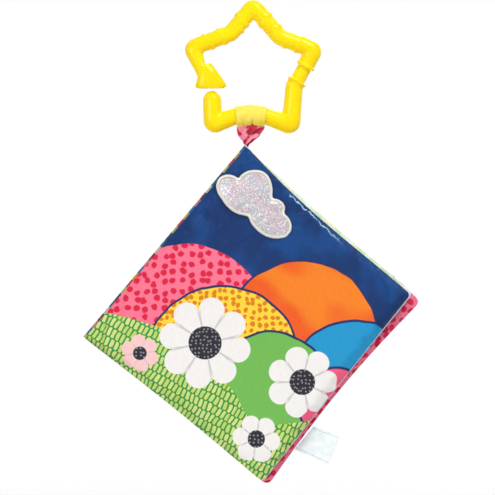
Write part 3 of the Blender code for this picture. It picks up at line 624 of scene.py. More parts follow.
def leaf_sides(top_width, foot_width, top_drop, spine_in, radii, top_in, foot_in, bows):
    """The four sides of a leaf with rounded corners: foot, free and top edges, and spine edge.

    bows is how far each side curves in, and the top edge does so most on its spine half.
    """
    spine_radius, free_radius = radii
    corners = [
        (spine_length - foot_in, spine_in, spine_radius),
        (spine_length - leaf_foot_gap, foot_width, free_radius),
        (top_drop, top_width, free_radius),
        (top_in, spine_in, spine_radius),
    ]
    arcs = []
    for n, (down, out, radius) in enumerate(corners):
        here = np.array((down, out))
        back = np.array(corners[n - 1][:2]) - here
        ahead = np.array(corners[(n + 1) % 4][:2]) - here
        back, ahead = back / np.linalg.norm(back), ahead / np.linalg.norm(ahead)
        half = math.acos(np.clip(back @ ahead, -1, 1)) / 2
        centre = here + (back + ahead) / np.linalg.norm(back + ahead) * radius / math.sin(half)
        start = here + back * radius / math.tan(half) - centre
        end = here + ahead * radius / math.tan(half) - centre
        sweep = math.acos(np.clip(start @ end / radius**2, -1, 1))
        arc = [
            centre + (math.sin((1 - f) * sweep) * start + math.sin(f * sweep) * end) / math.sin(sweep)
            for f in np.linspace(0, 1, corner_points)
        ]
        arcs.append(np.array(arc))
    half_arc = corner_points // 2
    sides = []
    for n in range(4):
        begin, finish = arcs[n][-1], arcs[(n + 1) % 4][0]
        along = finish - begin
        length = np.linalg.norm(along)
        inward = np.array((-along[1], along[0])) / length
        f = np.linspace(0, 1, side_points)[1:-1, None]
        skew = top_skew if n == 2 else 1.0
        bowed = begin + along * f + inward * bows[n] * np.sin(math.pi * f**skew)
        line = np.vstack([arcs[n][half_arc:], bowed, arcs[(n + 1) % 4][: half_arc + 1]])
        sides.append((line, lengths_along(line)))
    return sides


def along_side(side, shares):
    """Places on one side of a leaf at shares of its length."""
    line, run = side
    at = shares * run[-1]
    return np.stack([np.interp(at, run, line[:, k]) for k in (0, 1)], axis=-1)


def leaf_grid(sides, steps=leaf_steps):
    """Rows down the spine and columns out from it, closer together near the edges."""
    share = 0.5 - 0.5 * np.cos(np.linspace(0, math.pi, steps + 1))
    share = 0.35 * np.linspace(0, 1, steps + 1) + 0.65 * share
    foot = along_side(sides[0], share)
    free = along_side(sides[1], 1 - share)
    top = along_side(sides[2], 1 - share)
    spine = along_side(sides[3], share)
    a, b = share[:, None, None], share[None, :, None]
    return (
        (1 - a) * top[None] + a * foot[None] + (1 - b) * spine[:, None] + b * free[:, None]
        - (1 - a) * (1 - b) * top[0] - (1 - a) * b * top[-1] - a * (1 - b) * foot[0] - a * b * foot[-1]
    )


def distance_in(grid, sides, which=(0, 1, 2, 3)):
    """Each place's distance in from the sides named, in metres."""
    line = np.vstack([along_side(sides[n], np.linspace(0, 1, 90)) for n in which])
    best = np.full(grid.shape[:-1], np.inf)
    for a, b in zip(line[:-1], line[1:]):
        ab = b - a
        size = ab @ ab
        # A longer step joins two sides that aren't neighbours, and a step of 0 is a shared corner
        if 0 < size < 0.01**2:
            f = np.clip(((grid - a) @ ab) / size, 0, 1)
            best = np.minimum(best, np.linalg.norm(grid - a - f[..., None] * ab, axis=-1))
    return best


def risen(distance):
    """The share of a face's full rise at a distance in from its seam, in metres."""
    at, rise = zip(*rise_stations)
    return np.interp(distance * 1000, at, rise)


def puckers(grid, sides, seed, strength=(1.0, 1.0, 1.0)):
    """Short gathers square to the three sewn edges, in metres, deepest by the seam."""
    total = np.zeros(grid.shape[:2])
    share_down = np.linspace(0, 1, grid.shape[0])[:, None] * np.ones(grid.shape[:2])
    share_out = np.linspace(0, 1, grid.shape[1])[None, :] * np.ones(grid.shape[:2])
    for number, (edge, at) in enumerate(((0, share_out), (1, share_down), (2, share_out))):
        x = at * gather_run_mm + 17.0 * number + seed
        wave = np.sin(x * 0.95 + 1.3 * np.sin(x * 0.11)) + 0.7 * np.sin(x * 1.63 + 2.0 * np.sin(x * 0.07))
        wave = wave * (0.45 + 0.55 * np.sin(x * 0.083 + seed) ** 2)
        away = distance_in(grid, sides, (edge,)) * 1000
        fade = (1 - np.exp(-away / 0.7)) * np.exp(-((away / gather_reach_mm) ** 1.3))
        total += strength[number] * wave * fade
    return total * gather_depth


def rumples(grid, folds):
    """Long soft folds: middle down and out in mm, direction in degrees, length, width, height."""
    total = np.zeros(grid.shape[:2])
    for down, out, degrees, length, width, height in folds:
        x = grid[..., 0] * 1000 - down
        y = grid[..., 1] * 1000 - out
        c, s = math.cos(math.radians(degrees)), math.sin(math.radians(degrees))
        along, across = x * c + y * s, -x * s + y * c
        across = across + 0.015 * along**2 / max(length, 1.0)
        total += height * np.exp(-((along / length) ** 2) - (across / width) ** 2)
    return total / 1000


def print_mm(grid):
    """The flat cloth in millimetres, to the right of and above the top end of the spine."""
    c, s = math.cos(hang_angle), math.sin(hang_angle)
    right = -grid[..., 0] * c + grid[..., 1] * s
    up = -grid[..., 0] * s - grid[..., 1] * c
    return np.stack([right, up], axis=-1) * 1000


def stuffed(points, held, loose, push, most, flip):
    """A face's rows of points after its filling has blown it out in a cloth simulation.

    held is 1 on the sewn rim, loose is how much longer the cloth is than its first shape, and
    most is as far as a point may move, in metres.
    """
    rows, columns = points.shape[:2]
    flat = np.zeros((rows, columns + 1, 2))
    trial = cloth_grid("stuffing_trial", points * stuffing_scale, flat, flip=flip)
    sewn = trial.vertex_groups.new(name="sewn")
    for index in np.flatnonzero(held.ravel() > 0.0):
        sewn.add([int(index)], float(held.flat[index]), "REPLACE")
    stuffing = trial.modifiers.new("stuffing", "CLOTH")
    cloth = stuffing.settings
    cloth.quality = 5
    cloth.mass = 0.3
    cloth.tension_stiffness = cloth.compression_stiffness = 15.0
    cloth.shear_stiffness = 5.0
    cloth.bending_stiffness = 0.1
    cloth.use_pressure = True
    cloth.uniform_pressure_force = push
    cloth.vertex_group_mass = "sewn"
    cloth.shrink_min = -loose
    cloth.effector_weights.gravity = 0.0
    stuffing.collision_settings.use_collision = False
    stuffing.point_cache.frame_start, stuffing.point_cache.frame_end = 1, stuffing_frames
    for step in range(1, stuffing_frames + 1):
        bpy.context.scene.frame_set(step)
    blown = trial.evaluated_get(bpy.context.evaluated_depsgraph_get()).data
    places = np.empty(len(blown.vertices) * 3)
    blown.vertices.foreach_get("co", places)
    moved = places.reshape(points.shape) / stuffing_scale - points
    bpy.context.scene.frame_set(1)
    mesh = trial.data
    bpy.data.objects.remove(trial)
    bpy.data.meshes.remove(mesh)
    far = np.linalg.norm(moved, axis=-1, keepdims=True)
    return points + moved * np.minimum(1.0, most / np.maximum(far, 1e-9))


def padded_face(name, sides, seam, side, crown, waves, room=None):
    """One cloth face of a leaf: side is -1 where it bulges to the viewer, 1 away.

    room is as far as the face may stand from its seam, where another face lies against it.
    """
    grid = leaf_grid(sides)
    depth = seam + side * (crown * risen(distance_in(grid, sides)) + waves(grid))
    points = on_book(grid[..., 0], grid[..., 1], depth)
    held = np.ones(grid.shape[:2])
    held[1:-1, 1:-1] = 0.0
    points = stuffed(points, held, face_slack, stuffing_push, face_most_blown, side < 0)
    if room:
        depths = points[..., 1]
        points[..., 1] = np.minimum(depths, seam + room) if side > 0 else np.maximum(depths, seam - room)
    return cloth_grid(name, points, print_mm(grid), flip=side < 0)


back_bows = (0.0010, 0.0031, 0.0026, 0.0)
back_sides = leaf_sides(0.1378, 0.1390, 0.0035, panel_inset, (0.0030, 0.0038), 0.0006, 0.0004, back_bows)
back_folds = (
    (40, 95, 35, 22, 5, 0.45), (96, 60, 80, 26, 7, -0.4), (118, 112, 125, 14, 4, 0.5),
    (22, 44, 100, 15, 5, 0.4), (70, 118, 60, 12, 4, -0.4),
)
back_face = padded_face(
    "back_cover_outside", back_sides, seam_depth, 1, outer_crown,
    lambda grid: 1.2 * puckers(grid, back_sides, 3.0) + rumples(grid, back_folds),
)
back_lining = padded_face(
    "back_cover_inside", back_sides, seam_depth, -1, lining_crown,
    lambda grid: np.minimum(0.0, 0.8 * puckers(grid, back_sides, 8.0)), lining_crown,
)

pink_cotton, tree, shader = new_finish(
    "spotted_pink_cotton", Specular_IOR_Level=0.2, Sheen_Weight=0.04, Sheen_Roughness=0.5
)
blotched = spotted(tree, dye("F87A96"), dye("DF2A4E"), dye("C8143C"), 5.4, 0.36)
woven(tree, shader, blotched, 0.35, 0.2, 0.00004, (0.55, 0.72), 0.25, 2.0)
for piece, node in ((back_face, "back_cover_face"), (back_lining, "back_cover_lining")):
    piece.data.materials.append(pink_cotton)
    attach(piece, "back_cover")
    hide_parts(node)


# Page: the middle leaf, thinner than the covers. It has a lime satin front with a pale border
# down its free edge and a lilac satin back, and a web of cloth in the spine holds it to a roll.

page_bows = (0.0012, 0.0004, 0.0009, 0.0)
page_sides = leaf_sides(0.1315, 0.1355, 0.0030, panel_inset, (0.0030, 0.0032), 0.0006, 0.0008, page_bows)
page_front = padded_face(
    "page_front", page_sides, 0.0, -1, page_crown,
    lambda grid: np.minimum(0.0, 0.7 * puckers(grid, page_sides, 5.0)), page_crown,
)
page_back = padded_face(
    "page_back", page_sides, 0.0, 1, page_crown,
    lambda grid: np.minimum(0.0, 0.7 * puckers(grid, page_sides, 11.0)), page_crown,
)


def turned(tree, place, angle):
    """The place turned by an angle round the cloth's upright, in radians."""
    made = tree.nodes.new("ShaderNodeVectorRotate")
    made.rotation_type = "Z_AXIS"
    feed(tree, made.inputs["Vector"], place)
    feed(tree, made.inputs["Angle"], angle)
    return made.outputs[0]


# Dashes: rows of small rounded dashes, each row set over from the one before
dashes, into, out = new_group(
    "dashed_print",
    [("Place", "Vector", None), ("Slant", "Float", 0.5), ("Pitch", "Float", 4.1), ("Row", "Float", 6.6)],
    [("Dash", "Float"), ("Tone", "Float")],
)
uneven_place = stirred(dashes, into["Place"], 0.10, 2.0, (3.0, 3.0, 0.0))
apart = parts_of(dashes, turned(dashes, uneven_place, into["Slant"]))
row = sum_of(dashes, "DIVIDE", apart["Y"], into["Row"])
row_number = sum_of(dashes, "FLOOR", row)
set_over = sum_of(dashes, "MULTIPLY", row_number, 0.43)
column = sum_of(dashes, "ADD", sum_of(dashes, "DIVIDE", apart["X"], into["Pitch"]), set_over)
across = sum_of(dashes, "SUBTRACT", sum_of(dashes, "FRACT", column), 0.5)
upright = sum_of(dashes, "SUBTRACT", sum_of(dashes, "FRACT", row), 0.5)
# Each way: place in the cell, half length of the straight part, and length of the round end
rounded = []
for off_middle, straight, round_end in ((across, 0.13, 0.20), (upright, 0.28, 0.17)):
    past = sum_of(dashes, "SUBTRACT", sum_of(dashes, "ABSOLUTE", off_middle), straight)
    past = sum_of(dashes, "DIVIDE", sum_of(dashes, "MAXIMUM", past, 0.0), round_end)
    rounded.append(sum_of(dashes, "POWER", past, 2.0))
dashes.links.new(ramp_of(dashes, sum_of(dashes, "ADD", *rounded), 0.75, 1.2, 1.0, 0.0), out["Dash"])
random = dashes.nodes.new("ShaderNodeTexWhiteNoise")
random.noise_dimensions = "2D"
cell = dashes.nodes.new("ShaderNodeCombineXYZ")
dashes.links.new(sum_of(dashes, "FLOOR", column), cell.inputs[0])
dashes.links.new(row_number, cell.inputs[1])
dashes.links.new(cell.outputs[0], random.inputs["Vector"])
dashes.links.new(random.outputs["Value"], out["Tone"])

# The border starts this far out from the spine at the top, in millimetres, and slants with the edge
border_out, border_softness = 127.0, 0.4
border_slope = 0.0276


def lining_satin(name):
    """The satin that the page's faces, the front cover's lining and the spine are cut from."""
    return new_finish(name, Specular_IOR_Level=0.3, Sheen_Weight=0.05, Sheen_Roughness=0.4)


lime_satin, tree, shader = lining_satin("lime_page_satin")
place = place_on(tree)
leafy = placed(tree, dashes, Place=place, Slant=0.9, Pitch=9.0, Row=12.0)
dash_tone = laid_over(tree, dye("BFDE96"), dye("F5F6EA"), leafy["Tone"])
dashed = laid_over(tree, dye("E9F0C6"), dash_tone, leafy["Dash"])
apart = parts_of(tree, turned(tree, place, -hang_angle))
out_from = sum_of(tree, "SUBTRACT", sum_of(tree, "MULTIPLY", apart["X"], border_slope), apart["Y"])
border = ramp_of(tree, out_from, border_out, border_out + border_softness)
dashed = laid_over(tree, dashed, dye("DDE3F3"), border)
woven(tree, shader, dashed, 0.30, 0.8, 0.00003, (0.36, 0.50), 0.2, 3.0)
page_front.data.materials.append(lime_satin)

lilac_satin, tree, shader = lining_satin("lilac_page_satin")
dotted = spotted(tree, dye("A9B6E4"), dye("F6F2EE"), dye("F08AA0"), 12.0, 0.22, 0.0)
woven(tree, shader, dotted, 0.30, 0.8, 0.00003, (0.36, 0.50), 0.2, 3.0)
page_back.data.materials.append(lilac_satin)
for piece, node, slot_name in (
    (page_front, "page_front_face", "lime_page_satin"), (page_back, "page_back_face", "lilac_page_satin")
):
    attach(piece, "page")
    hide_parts(node)


# Front cover: as thick as the back one. Its outside is satin printed all over, and it is brought
# on round the spine as a hem; its lining is cyan satin with pale dots.

front_bows = (0.0010, 0.0003, 0.0024, 0.0)
front_sides = leaf_sides(0.1307, 0.1351, 0.0044, panel_inset, (0.0030, 0.0028), 0.0006, 0.0004, front_bows)
front_face_sides = leaf_sides(
    0.1307, 0.1351, 0.0044, front_axis_out, (0.0006, 0.0028), 0.0003, 0.0003, front_bows
)
hem_radius = 0.0021
hem_turns = 10
hem_sweep = 0.98
hem_blend = 0.0075
hem_step_in = 0.0003
front_slack, front_most_blown = 0.045, 0.0015
front_folds = (
    (30, 118, 50, 13, 2.6, 0.7), (20, 108, 47, 12, 2.2, -0.6), (14, 96, 52, 9, 2.0, 0.5),
    (44, 124, 52, 10, 2.5, 0.5), (8, 72, 75, 6, 1.3, 0.5), (7, 64, 70, 6, 1.2, -0.45),
    (8, 56, 80, 6, 1.4, 0.45), (8, 82, 78, 6, 1.5, -0.4), (8, 90, 80, 6, 1.3, 0.4),
    (66, 62, 30, 35, 14, 0.35), (100, 40, 110, 30, 12, -0.35), (118, 96, 70, 25, 10, 0.4),
    (84, 112, 95, 18, 6, -0.4), (132, 30, 100, 14, 4, 0.45), (139, 84, 95, 18, 2.4, -0.5),
)
cloud_middle = (0.0046, -0.0344)
cloud_width = 0.0445
cloud_hold = 0.6


def near_cloud(grid):
    """0 under the cloud, which holds its cover flat, and 1 away from it."""
    half_wide, half_high, fade = 25.0, 22.0, 0.35
    flat = print_mm(grid) - np.array(cloud_middle) * 1000
    away = np.hypot(flat[..., 0] / half_wide, (flat[..., 1] + 1.0) / half_high)
    return np.clip((away - 0.95) / fade, 0.0, 1.0)


grid = leaf_grid(front_face_sides)
rise = risen(distance_in(grid, front_face_sides))
waves = puckers(grid, front_face_sides, 1.0, (1.2, 1.0, 1.9)) + rumples(grid, front_folds)
to_hem = np.clip((hem_blend - grid[..., 1]) / (hem_blend - front_axis_out), 0.0, 1.0) ** 2
depth = -seam_depth + hem_step_in * to_hem - outer_crown * rise - waves * near_cloud(grid) * (1 - to_hem)
face_points = on_book(grid[..., 0], grid[..., 1], depth)
face_mm = print_mm(grid)
hem_points = []
hem_mm = []
for n in range(hem_turns, 0, -1):
    angle = math.pi / 2 * (1.0 + hem_sweep * n / hem_turns)
    down = grid[:, 0, 0]
    out_from = front_axis_out + hem_radius * math.cos(angle)
    hem_points.append(on_book(down, out_from, -axis_depth - hem_radius * math.sin(angle)))
    unrolled = np.full_like(down, front_axis_out - hem_radius * (angle - math.pi / 2))
    hem_mm.append(print_mm(np.stack([down, unrolled], axis=-1)))
face_points = np.concatenate([np.stack(hem_points, axis=1), face_points], axis=1)
face_mm = np.concatenate([np.stack(hem_mm, axis=1), face_mm], axis=1)
held = np.zeros(face_points.shape[:2])
held[:, hem_turns:] = cloud_hold * (1 - near_cloud(grid))
held[0], held[-1], held[:, : hem_turns + 3], held[:, -1] = 1.0, 1.0, 1.0, 1.0
face_points = stuffed(face_points, held, front_slack, stuffing_push, front_most_blown, True)
front_face = cloth_grid("front_cover_outside", face_points, face_mm, flip=True)
front_lining = padded_face(
    "front_cover_inside", front_sides, -seam_depth, 1, lining_crown,
    lambda grid: np.minimum(0.0, 0.8 * puckers(grid, front_sides, 14.0)), lining_crown,
)


def from_middle(tree, into):
    """How far right of, above and away from its middle a place in a printed shape is."""
    apart = parts_of(tree, into["Place"])
    right = sum_of(tree, "SUBTRACT", apart["X"], into["Across"])
    above = sum_of(tree, "SUBTRACT", apart["Y"], into["Up"])
    squares = sum_of(tree, "ADD", sum_of(tree, "POWER", right, 2.0), sum_of(tree, "POWER", above, 2.0))
    return right, above, sum_of(tree, "SQRT", squares)


print_edge = 0.2

# Round hill: a disc with an inked rim
hill, into, out = new_group(
    "printed_hill",
    [("Place", "Vector", None), ("Across", "Float", 0.0), ("Up", "Float", 0.0), ("Radius", "Float", 40.0),
     ("Ink", "Float", 1.3)],
    [("Hill", "Float"), ("Rim", "Float")],
)
far = from_middle(hill, into)[2]
wobble = sum_of(hill, "SUBTRACT", noise_of(hill, into["Place"], 0.06, 1.0), 0.5)
wobble = sum_of(hill, "MULTIPLY", wobble, 3.0)
inside = sum_of(hill, "SUBTRACT", into["Radius"], sum_of(hill, "ADD", far, wobble))
hill.links.new(ramp_of(hill, inside, -print_edge, print_edge), out["Hill"])
past_ink = sum_of(hill, "SUBTRACT", inside, into["Ink"])
hill.links.new(ramp_of(hill, past_ink, -print_edge, print_edge, 1.0, 0.0), out["Rim"])

# Daisy: a ring of rounded petals with a round heart
daisy, into, out = new_group(
    "printed_daisy",
    [("Place", "Vector", None), ("Across", "Float", 0.0), ("Up", "Float", 0.0), ("Radius", "Float", 20.0),
     ("Petals", "Float", 4.0), ("Turn", "Float", 0.0), ("Heart", "Float", 0.36)],
    [("Flower", "Float"), ("Heart", "Float"), ("Crease", "Float")],
)
right, above, far = from_middle(daisy, into)
heading = sum_of(daisy, "ADD", sum_of(daisy, "ARCTAN2", above, right), into["Turn"])
petal = sum_of(daisy, "COSINE", sum_of(daisy, "MULTIPLY", heading, into["Petals"]))
petal = sum_of(daisy, "ABSOLUTE", petal)
reach = sum_of(daisy, "MULTIPLY", sum_of(daisy, "POWER", petal, 0.45), 0.34)
reach = sum_of(daisy, "ADD", 0.66, reach)
inside = sum_of(daisy, "SUBTRACT", sum_of(daisy, "MULTIPLY", reach, into["Radius"]), far)
daisy.links.new(ramp_of(daisy, inside, -print_edge, print_edge), out["Flower"])
heart = sum_of(daisy, "SUBTRACT", sum_of(daisy, "MULTIPLY", into["Heart"], into["Radius"]), far)
daisy.links.new(ramp_of(daisy, heart, -print_edge, print_edge), out["Heart"])
between_petals = ramp_of(daisy, petal, 0.05, 0.30, 1.0, 0.0)
crease = sum_of(daisy, "MULTIPLY", between_petals, ramp_of(daisy, inside, 0.0, 3.0))
daisy.links.new(crease, out["Crease"])

# Edge crease highlight and foot shade: beside the top seam, where the satin is puckered in a broken line, its
# crest is painted paler as a highlight;
# along the foot, where it rolls under, it is painted darker as shade
edge_highlight_and_foot_shade, into, out = new_group(
    "edge_highlight_and_foot_shade", [("Place", "Vector", None)], [("Crest_Highlight", "Float"), ("Foot_Shade", "Float")]
)
cover_width_mm = 131.0
top_edge_drop, top_edge_bow, crease_below = 4.1, 2.4, 2.4
apart = parts_of(edge_highlight_and_foot_shade, turned(edge_highlight_and_foot_shade, into["Place"], -hang_angle))
down = sum_of(edge_highlight_and_foot_shade, "MULTIPLY", apart["X"], -1.0)
out_from = sum_of(edge_highlight_and_foot_shade, "MULTIPLY", apart["Y"], -1.0)
bow = sum_of(edge_highlight_and_foot_shade, "SINE", sum_of(edge_highlight_and_foot_shade, "MULTIPLY", out_from, math.pi / cover_width_mm))
bow = sum_of(edge_highlight_and_foot_shade, "MULTIPLY", bow, top_edge_bow)
top = sum_of(edge_highlight_and_foot_shade, "MULTIPLY", out_from, top_edge_drop / cover_width_mm)
top = sum_of(edge_highlight_and_foot_shade, "ADD", top, bow)
wander = noise_of(edge_highlight_and_foot_shade, into["Place"], 0.30, 2.0, 0.7)
wander = sum_of(edge_highlight_and_foot_shade, "MULTIPLY", sum_of(edge_highlight_and_foot_shade, "SUBTRACT", wander, 0.5), 3.6)
from_top = sum_of(edge_highlight_and_foot_shade, "SUBTRACT", sum_of(edge_highlight_and_foot_shade, "SUBTRACT", down, top), crease_below)
off_crest = sum_of(edge_highlight_and_foot_shade, "ABSOLUTE", sum_of(edge_highlight_and_foot_shade, "ADD", from_top, wander))
line = ramp_of(edge_highlight_and_foot_shade, off_crest, 0.10, 0.65, 1.0, 0.0)
begins = ramp_of(edge_highlight_and_foot_shade, out_from, 34.0, 42.0)
ends = ramp_of(edge_highlight_and_foot_shade, out_from, 66.0, 84.0, 1.0, 0.0)
reach = sum_of(edge_highlight_and_foot_shade, "MULTIPLY", begins, ends)
broken = ramp_of(edge_highlight_and_foot_shade, noise_of(edge_highlight_and_foot_shade, into["Place"], 0.16, 1.0), 0.36, 0.46)
# The crest line is a painted highlight, broken by noise
crest_highlight = sum_of(edge_highlight_and_foot_shade, "MULTIPLY", sum_of(edge_highlight_and_foot_shade, "MULTIPLY", line, reach), broken)
edge_highlight_and_foot_shade.links.new(crest_highlight, out["Crest_Highlight"])
# Foot: painted shade over the last two millimetres down to the foot, where the cloth rolls under
edge_highlight_and_foot_shade.links.new(ramp_of(edge_highlight_and_foot_shade, down, 145.6, 147.8), out["Foot_Shade"])

printed_satin, tree, shader = new_finish(
    "printed_cover_satin", Specular_IOR_Level=0.16, Sheen_Weight=0.01, Sheen_Roughness=0.35
)
place = place_on(tree)
navy = dye("1D2E60")
sky_wash = ramp_of(tree, noise_of(tree, place, 0.045, 2.0), 0.40, 0.66)
colour = laid_over(tree, dye("0A3066"), dye("0D4280"), sky_wash)
coral = placed(tree, spots, Place=place, Spacing=5.4, Size=0.34, Ragged=0.35)
amber = placed(tree, spots, Place=place, Spacing=3.9, Size=0.35, Ragged=0.5)
leafy = placed(tree, dashes, Place=place, Slant=0.50, Pitch=2.9, Row=5.4)
blades = laid_over(tree, dye("B4D062"), dye("D3DE8A"), leafy["Tone"])
grass = laid_over(tree, dye("3B8F45"), blades, leafy["Dash"])
sunset = ramp_of(tree, noise_of(tree, place, 0.03, 1.0), 0.4, 0.6)
speckles = placed(tree, spots, Place=place, Spacing=2.3, Size=0.22, Ragged=0.15)
charcoal = laid_over(tree, dye("2A2830"), dye("8D8B93"), speckles["Spot"])
fills = {
    "pink": laid_over(tree, dye("F4748F"), dye("D81E42"), coral["Spot"]),
    "orange": laid_over(tree, dye("EA5B1F"), dye("F08020"), sunset),
    "amber": laid_over(tree, dye("FFD23A"), dye("DB7E16"), amber["Spot"]),
    "leaf": dye("6FB552"), "water": dye("1F93C8"), "rose": dye("EE5C80"), "grass": grass,
}
# Hills, the farthest first: middle, radius, filling and width of the inked rim, in millimetres
for across, up, radius, fill, ink in (
    (-36, -108, 50, "pink", 0.0), (32, -112, 45, "orange", 1.4), (-14, -128, 46, "amber", 1.4),
    (62, -138, 36, "water", 1.4), (14, -146, 37, "leaf", 1.4), (52, -152, 22, "rose", 1.4),
    (-94, -202, 104, "grass", 0.0), (40, -262, 100, "grass", 0.0),
):
    shape = placed(tree, hill, Place=place, Across=across, Up=up, Radius=radius, Ink=ink)
    filling = laid_over(tree, fills[fill], navy, shape["Rim"]) if ink else fills[fill]
    colour = laid_over(tree, colour, filling, shape["Hill"])
# Daisies: middle, radius, half as many petals, turn in radians and petal colour
for across, up, radius, petals, turn, ground in (
    (-24, -116, 27, 4.0, 0.2, "ECE9E6"), (33, -139, 21, 3.5, 0.9, "ECE9E6"),
    (-62, -122, 11, 3.0, 0.4, "F3C5C4"), (6, -172, 14, 3.0, 1.2, "ECE9E6"),
):
    shape = placed(
        tree, daisy, Place=place, Across=across, Up=up, Radius=radius, Petals=petals, Turn=turn
    )
    petals_colour = laid_over(tree, dye(ground), dye("C9C3C4"), shape["Crease"])
    colour = laid_over(tree, colour, petals_colour, shape["Flower"])
    colour = laid_over(tree, colour, charcoal, shape["Heart"])
creases = placed(tree, edge_highlight_and_foot_shade, Place=place)
# Painted highlight in pale blue along the crease's crest beside the top seam
colour = laid_over(tree, colour, dye("A8D2F0"), sum_of(tree, "MULTIPLY", creases["Crest_Highlight"], 0.95))
# Painted shade in dark green along the rolled foot edge
colour = laid_over(tree, colour, dye("2F5A1E"), sum_of(tree, "MULTIPLY", creases["Foot_Shade"], 0.55))
woven(tree, shader, colour, 0.28, 0.85, 0.00003, (0.34, 0.48), 0.14, 7.0)
front_face.data.materials.append(printed_satin)

cyan_satin, tree, shader = lining_satin("cyan_page_satin")
dotted = spotted(tree, dye("66BFD8"), dye("F3F6EE"), dye("D8EFA8"), 10.0, 0.20, 0.0)
woven(tree, shader, dotted, 0.30, 0.8, 0.00003, (0.36, 0.50), 0.2, 3.0)
front_lining.data.materials.append(cyan_satin)
for piece, nodes, slot_name in (
    (front_face, ("front_cover_face", "front_cover_hem"), "printed_cover_satin"),
    (front_lining, ("front_cover_lining",), "cyan_page_satin"),
):
    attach(piece, "front_cover")
    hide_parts(*nodes)


# Filling: a sheet of polyester wadding in each leaf, with a film under one face that crackles
# when it is squeezed. Both are cut a little smaller than the cloth and sewn in at the spine.

wadding_finish, tree, shader = new_finish("polyester_wadding", Sheen_Weight=0.4, Sheen_Roughness=0.6)
fibres = noise_of(tree, place_on(tree), 1.2, 5.0, 0.75)
fluff = laid_over(tree, dye("DDDDDA"), dye("F6F6F4"), ramp_of(tree, fibres, 0.3, 0.7))
surfaced(tree, shader, fluff, ramp_of(tree, fibres, 0.2, 0.8, 0.85, 0.98), fibres, 0.0006)

film_finish, tree, shader = new_finish("crinkle_film", Coat_Weight=0.3, Coat_Roughness=0.1, IOR=1.5)
crinkle = noise_of(tree, place_on(tree), 0.22, 6.0, 0.75)
silvery = laid_over(tree, dye("C9CED4"), dye("E6EAEE"), ramp_of(tree, crinkle, 0.35, 0.65))
surfaced(tree, shader, silvery, ramp_of(tree, crinkle, 0.3, 0.7, 0.12, 0.30), crinkle, 0.0010)

cloth_cover = 0.0013
film_cover = 0.0006
film_thickness = 0.00025
least_rise = 0.00015
pad_inset, film_inset = 0.0045, 0.0060
leaf_half_width = 0.066
filling_steps = 28


def inner_layer(name, sides, seam, towards, crowns, inset, body, finish, nodes):
    """A pad or film inside a leaf, inset from its edges, between two depths set by crowns."""
    grid = leaf_grid(sides, filling_steps)
    middle = grid.reshape(-1, 2).mean(axis=0)
    small = middle + (grid - middle) * (1 - inset / leaf_half_width)
    rise = risen(distance_in(small, sides))
    faces = []
    for side, crown in zip(towards, crowns):
        depth = seam + side * np.maximum(crown * rise - cloth_cover, least_rise)
        faces.append(on_book(small[..., 0], small[..., 1], depth))
    rows = np.concatenate([faces[0], faces[1][:, ::-1]], axis=1)
    flat = print_mm(small)
    mm = np.concatenate([flat, flat[:, ::-1], flat[:, :1]], axis=1)
    nearer = faces[0][..., 1].mean() < faces[1][..., 1].mean()
    piece = cloth_grid(name, rows, mm, closed=True, flip=nearer)
    piece.data.materials.append(finish)
    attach(piece, body)
    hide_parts(*nodes)
    return piece


for leaf, sides, seam, towards, crowns in (
    ("back_cover", back_sides, seam_depth, (1, -1), (outer_crown - film_cover, lining_crown)),
    ("page", page_sides, 0.0, (-1, 1), (page_crown - film_cover, page_crown)),
    ("front_cover", front_sides, -seam_depth, (-1, 1), (outer_crown - film_cover, lining_crown)),
):
    pad = inner_layer(
        leaf + "_filling", sides, seam, towards, crowns, pad_inset, leaf, wadding_finish,
        [leaf + "_wadding"],
    )
    film_crown = crowns[0] + film_cover
    inner_layer(
        leaf + "_film", sides, seam, (towards[0], towards[0]), (film_crown, film_crown - film_thickness),
        film_inset, leaf, film_finish, [leaf + "_crinkle_film"],
    )


# Spine: satin striped across in bright colours. It covers the two rolled seams that the leaves
# turn on, is brought over the back cover's edge as a hem, and bridges the leaves outside.

fold_radius = 0.0012
inner_hem_radius = 0.0015
spine_margin = 0.0003
spine_middle = 0.07
spine_steps = 120
gather_height = 0.00008
down_spine = np.linspace(spine_margin, spine_length - spine_margin, spine_steps + 1)
gathers = gather_height * (np.sin(down_spine * 1500) + 0.7 * np.sin(down_spine * 2350 + 1.0))
stripe_width_mm = 5.2
stripe_codes = ("F39AA6", "8F2333", "E8EDD0", "1E7F86", "1F356B", "C9DC7A", "D9403F", "F3C64A", "2B86BF")

striped, into, out = new_group(
    "spine_stripes", [("Place", "Vector", None), ("Width", "Float", stripe_width_mm)], [("Colour", "Color")]
)
repeat = sum_of(striped, "MULTIPLY", into["Width"], len(stripe_codes))
along = parts_of(striped, into["Place"])["Y"]
band_share = sum_of(striped, "FRACT", sum_of(striped, "DIVIDE", along, repeat))
bands = striped.nodes.new("ShaderNodeValToRGB")
bands.color_ramp.interpolation = "CONSTANT"


def set_stops(ramp, stops):
    """Gives a colour ramp these places and colours."""
    for n, (at, code) in enumerate(stops):
        stop = ramp.elements[n] if n < 2 else ramp.elements.new(at)
        stop.position = at
        stop.color = dye(code)


set_stops(bands.color_ramp, [(n / len(stripe_codes), code) for n, code in enumerate(stripe_codes)])
striped.links.new(band_share, bands.inputs[0])
striped.links.new(bands.outputs[0], out["Colour"])

striped_satin, tree, shader = lining_satin("striped_spine_satin")
stripe = placed(tree, striped, Place=place_on(tree), Width=stripe_width_mm)["Colour"]
woven(tree, shader, stripe, 0.30, 0.8, 0.00003, (0.40, 0.55), 0.2, 2.0)


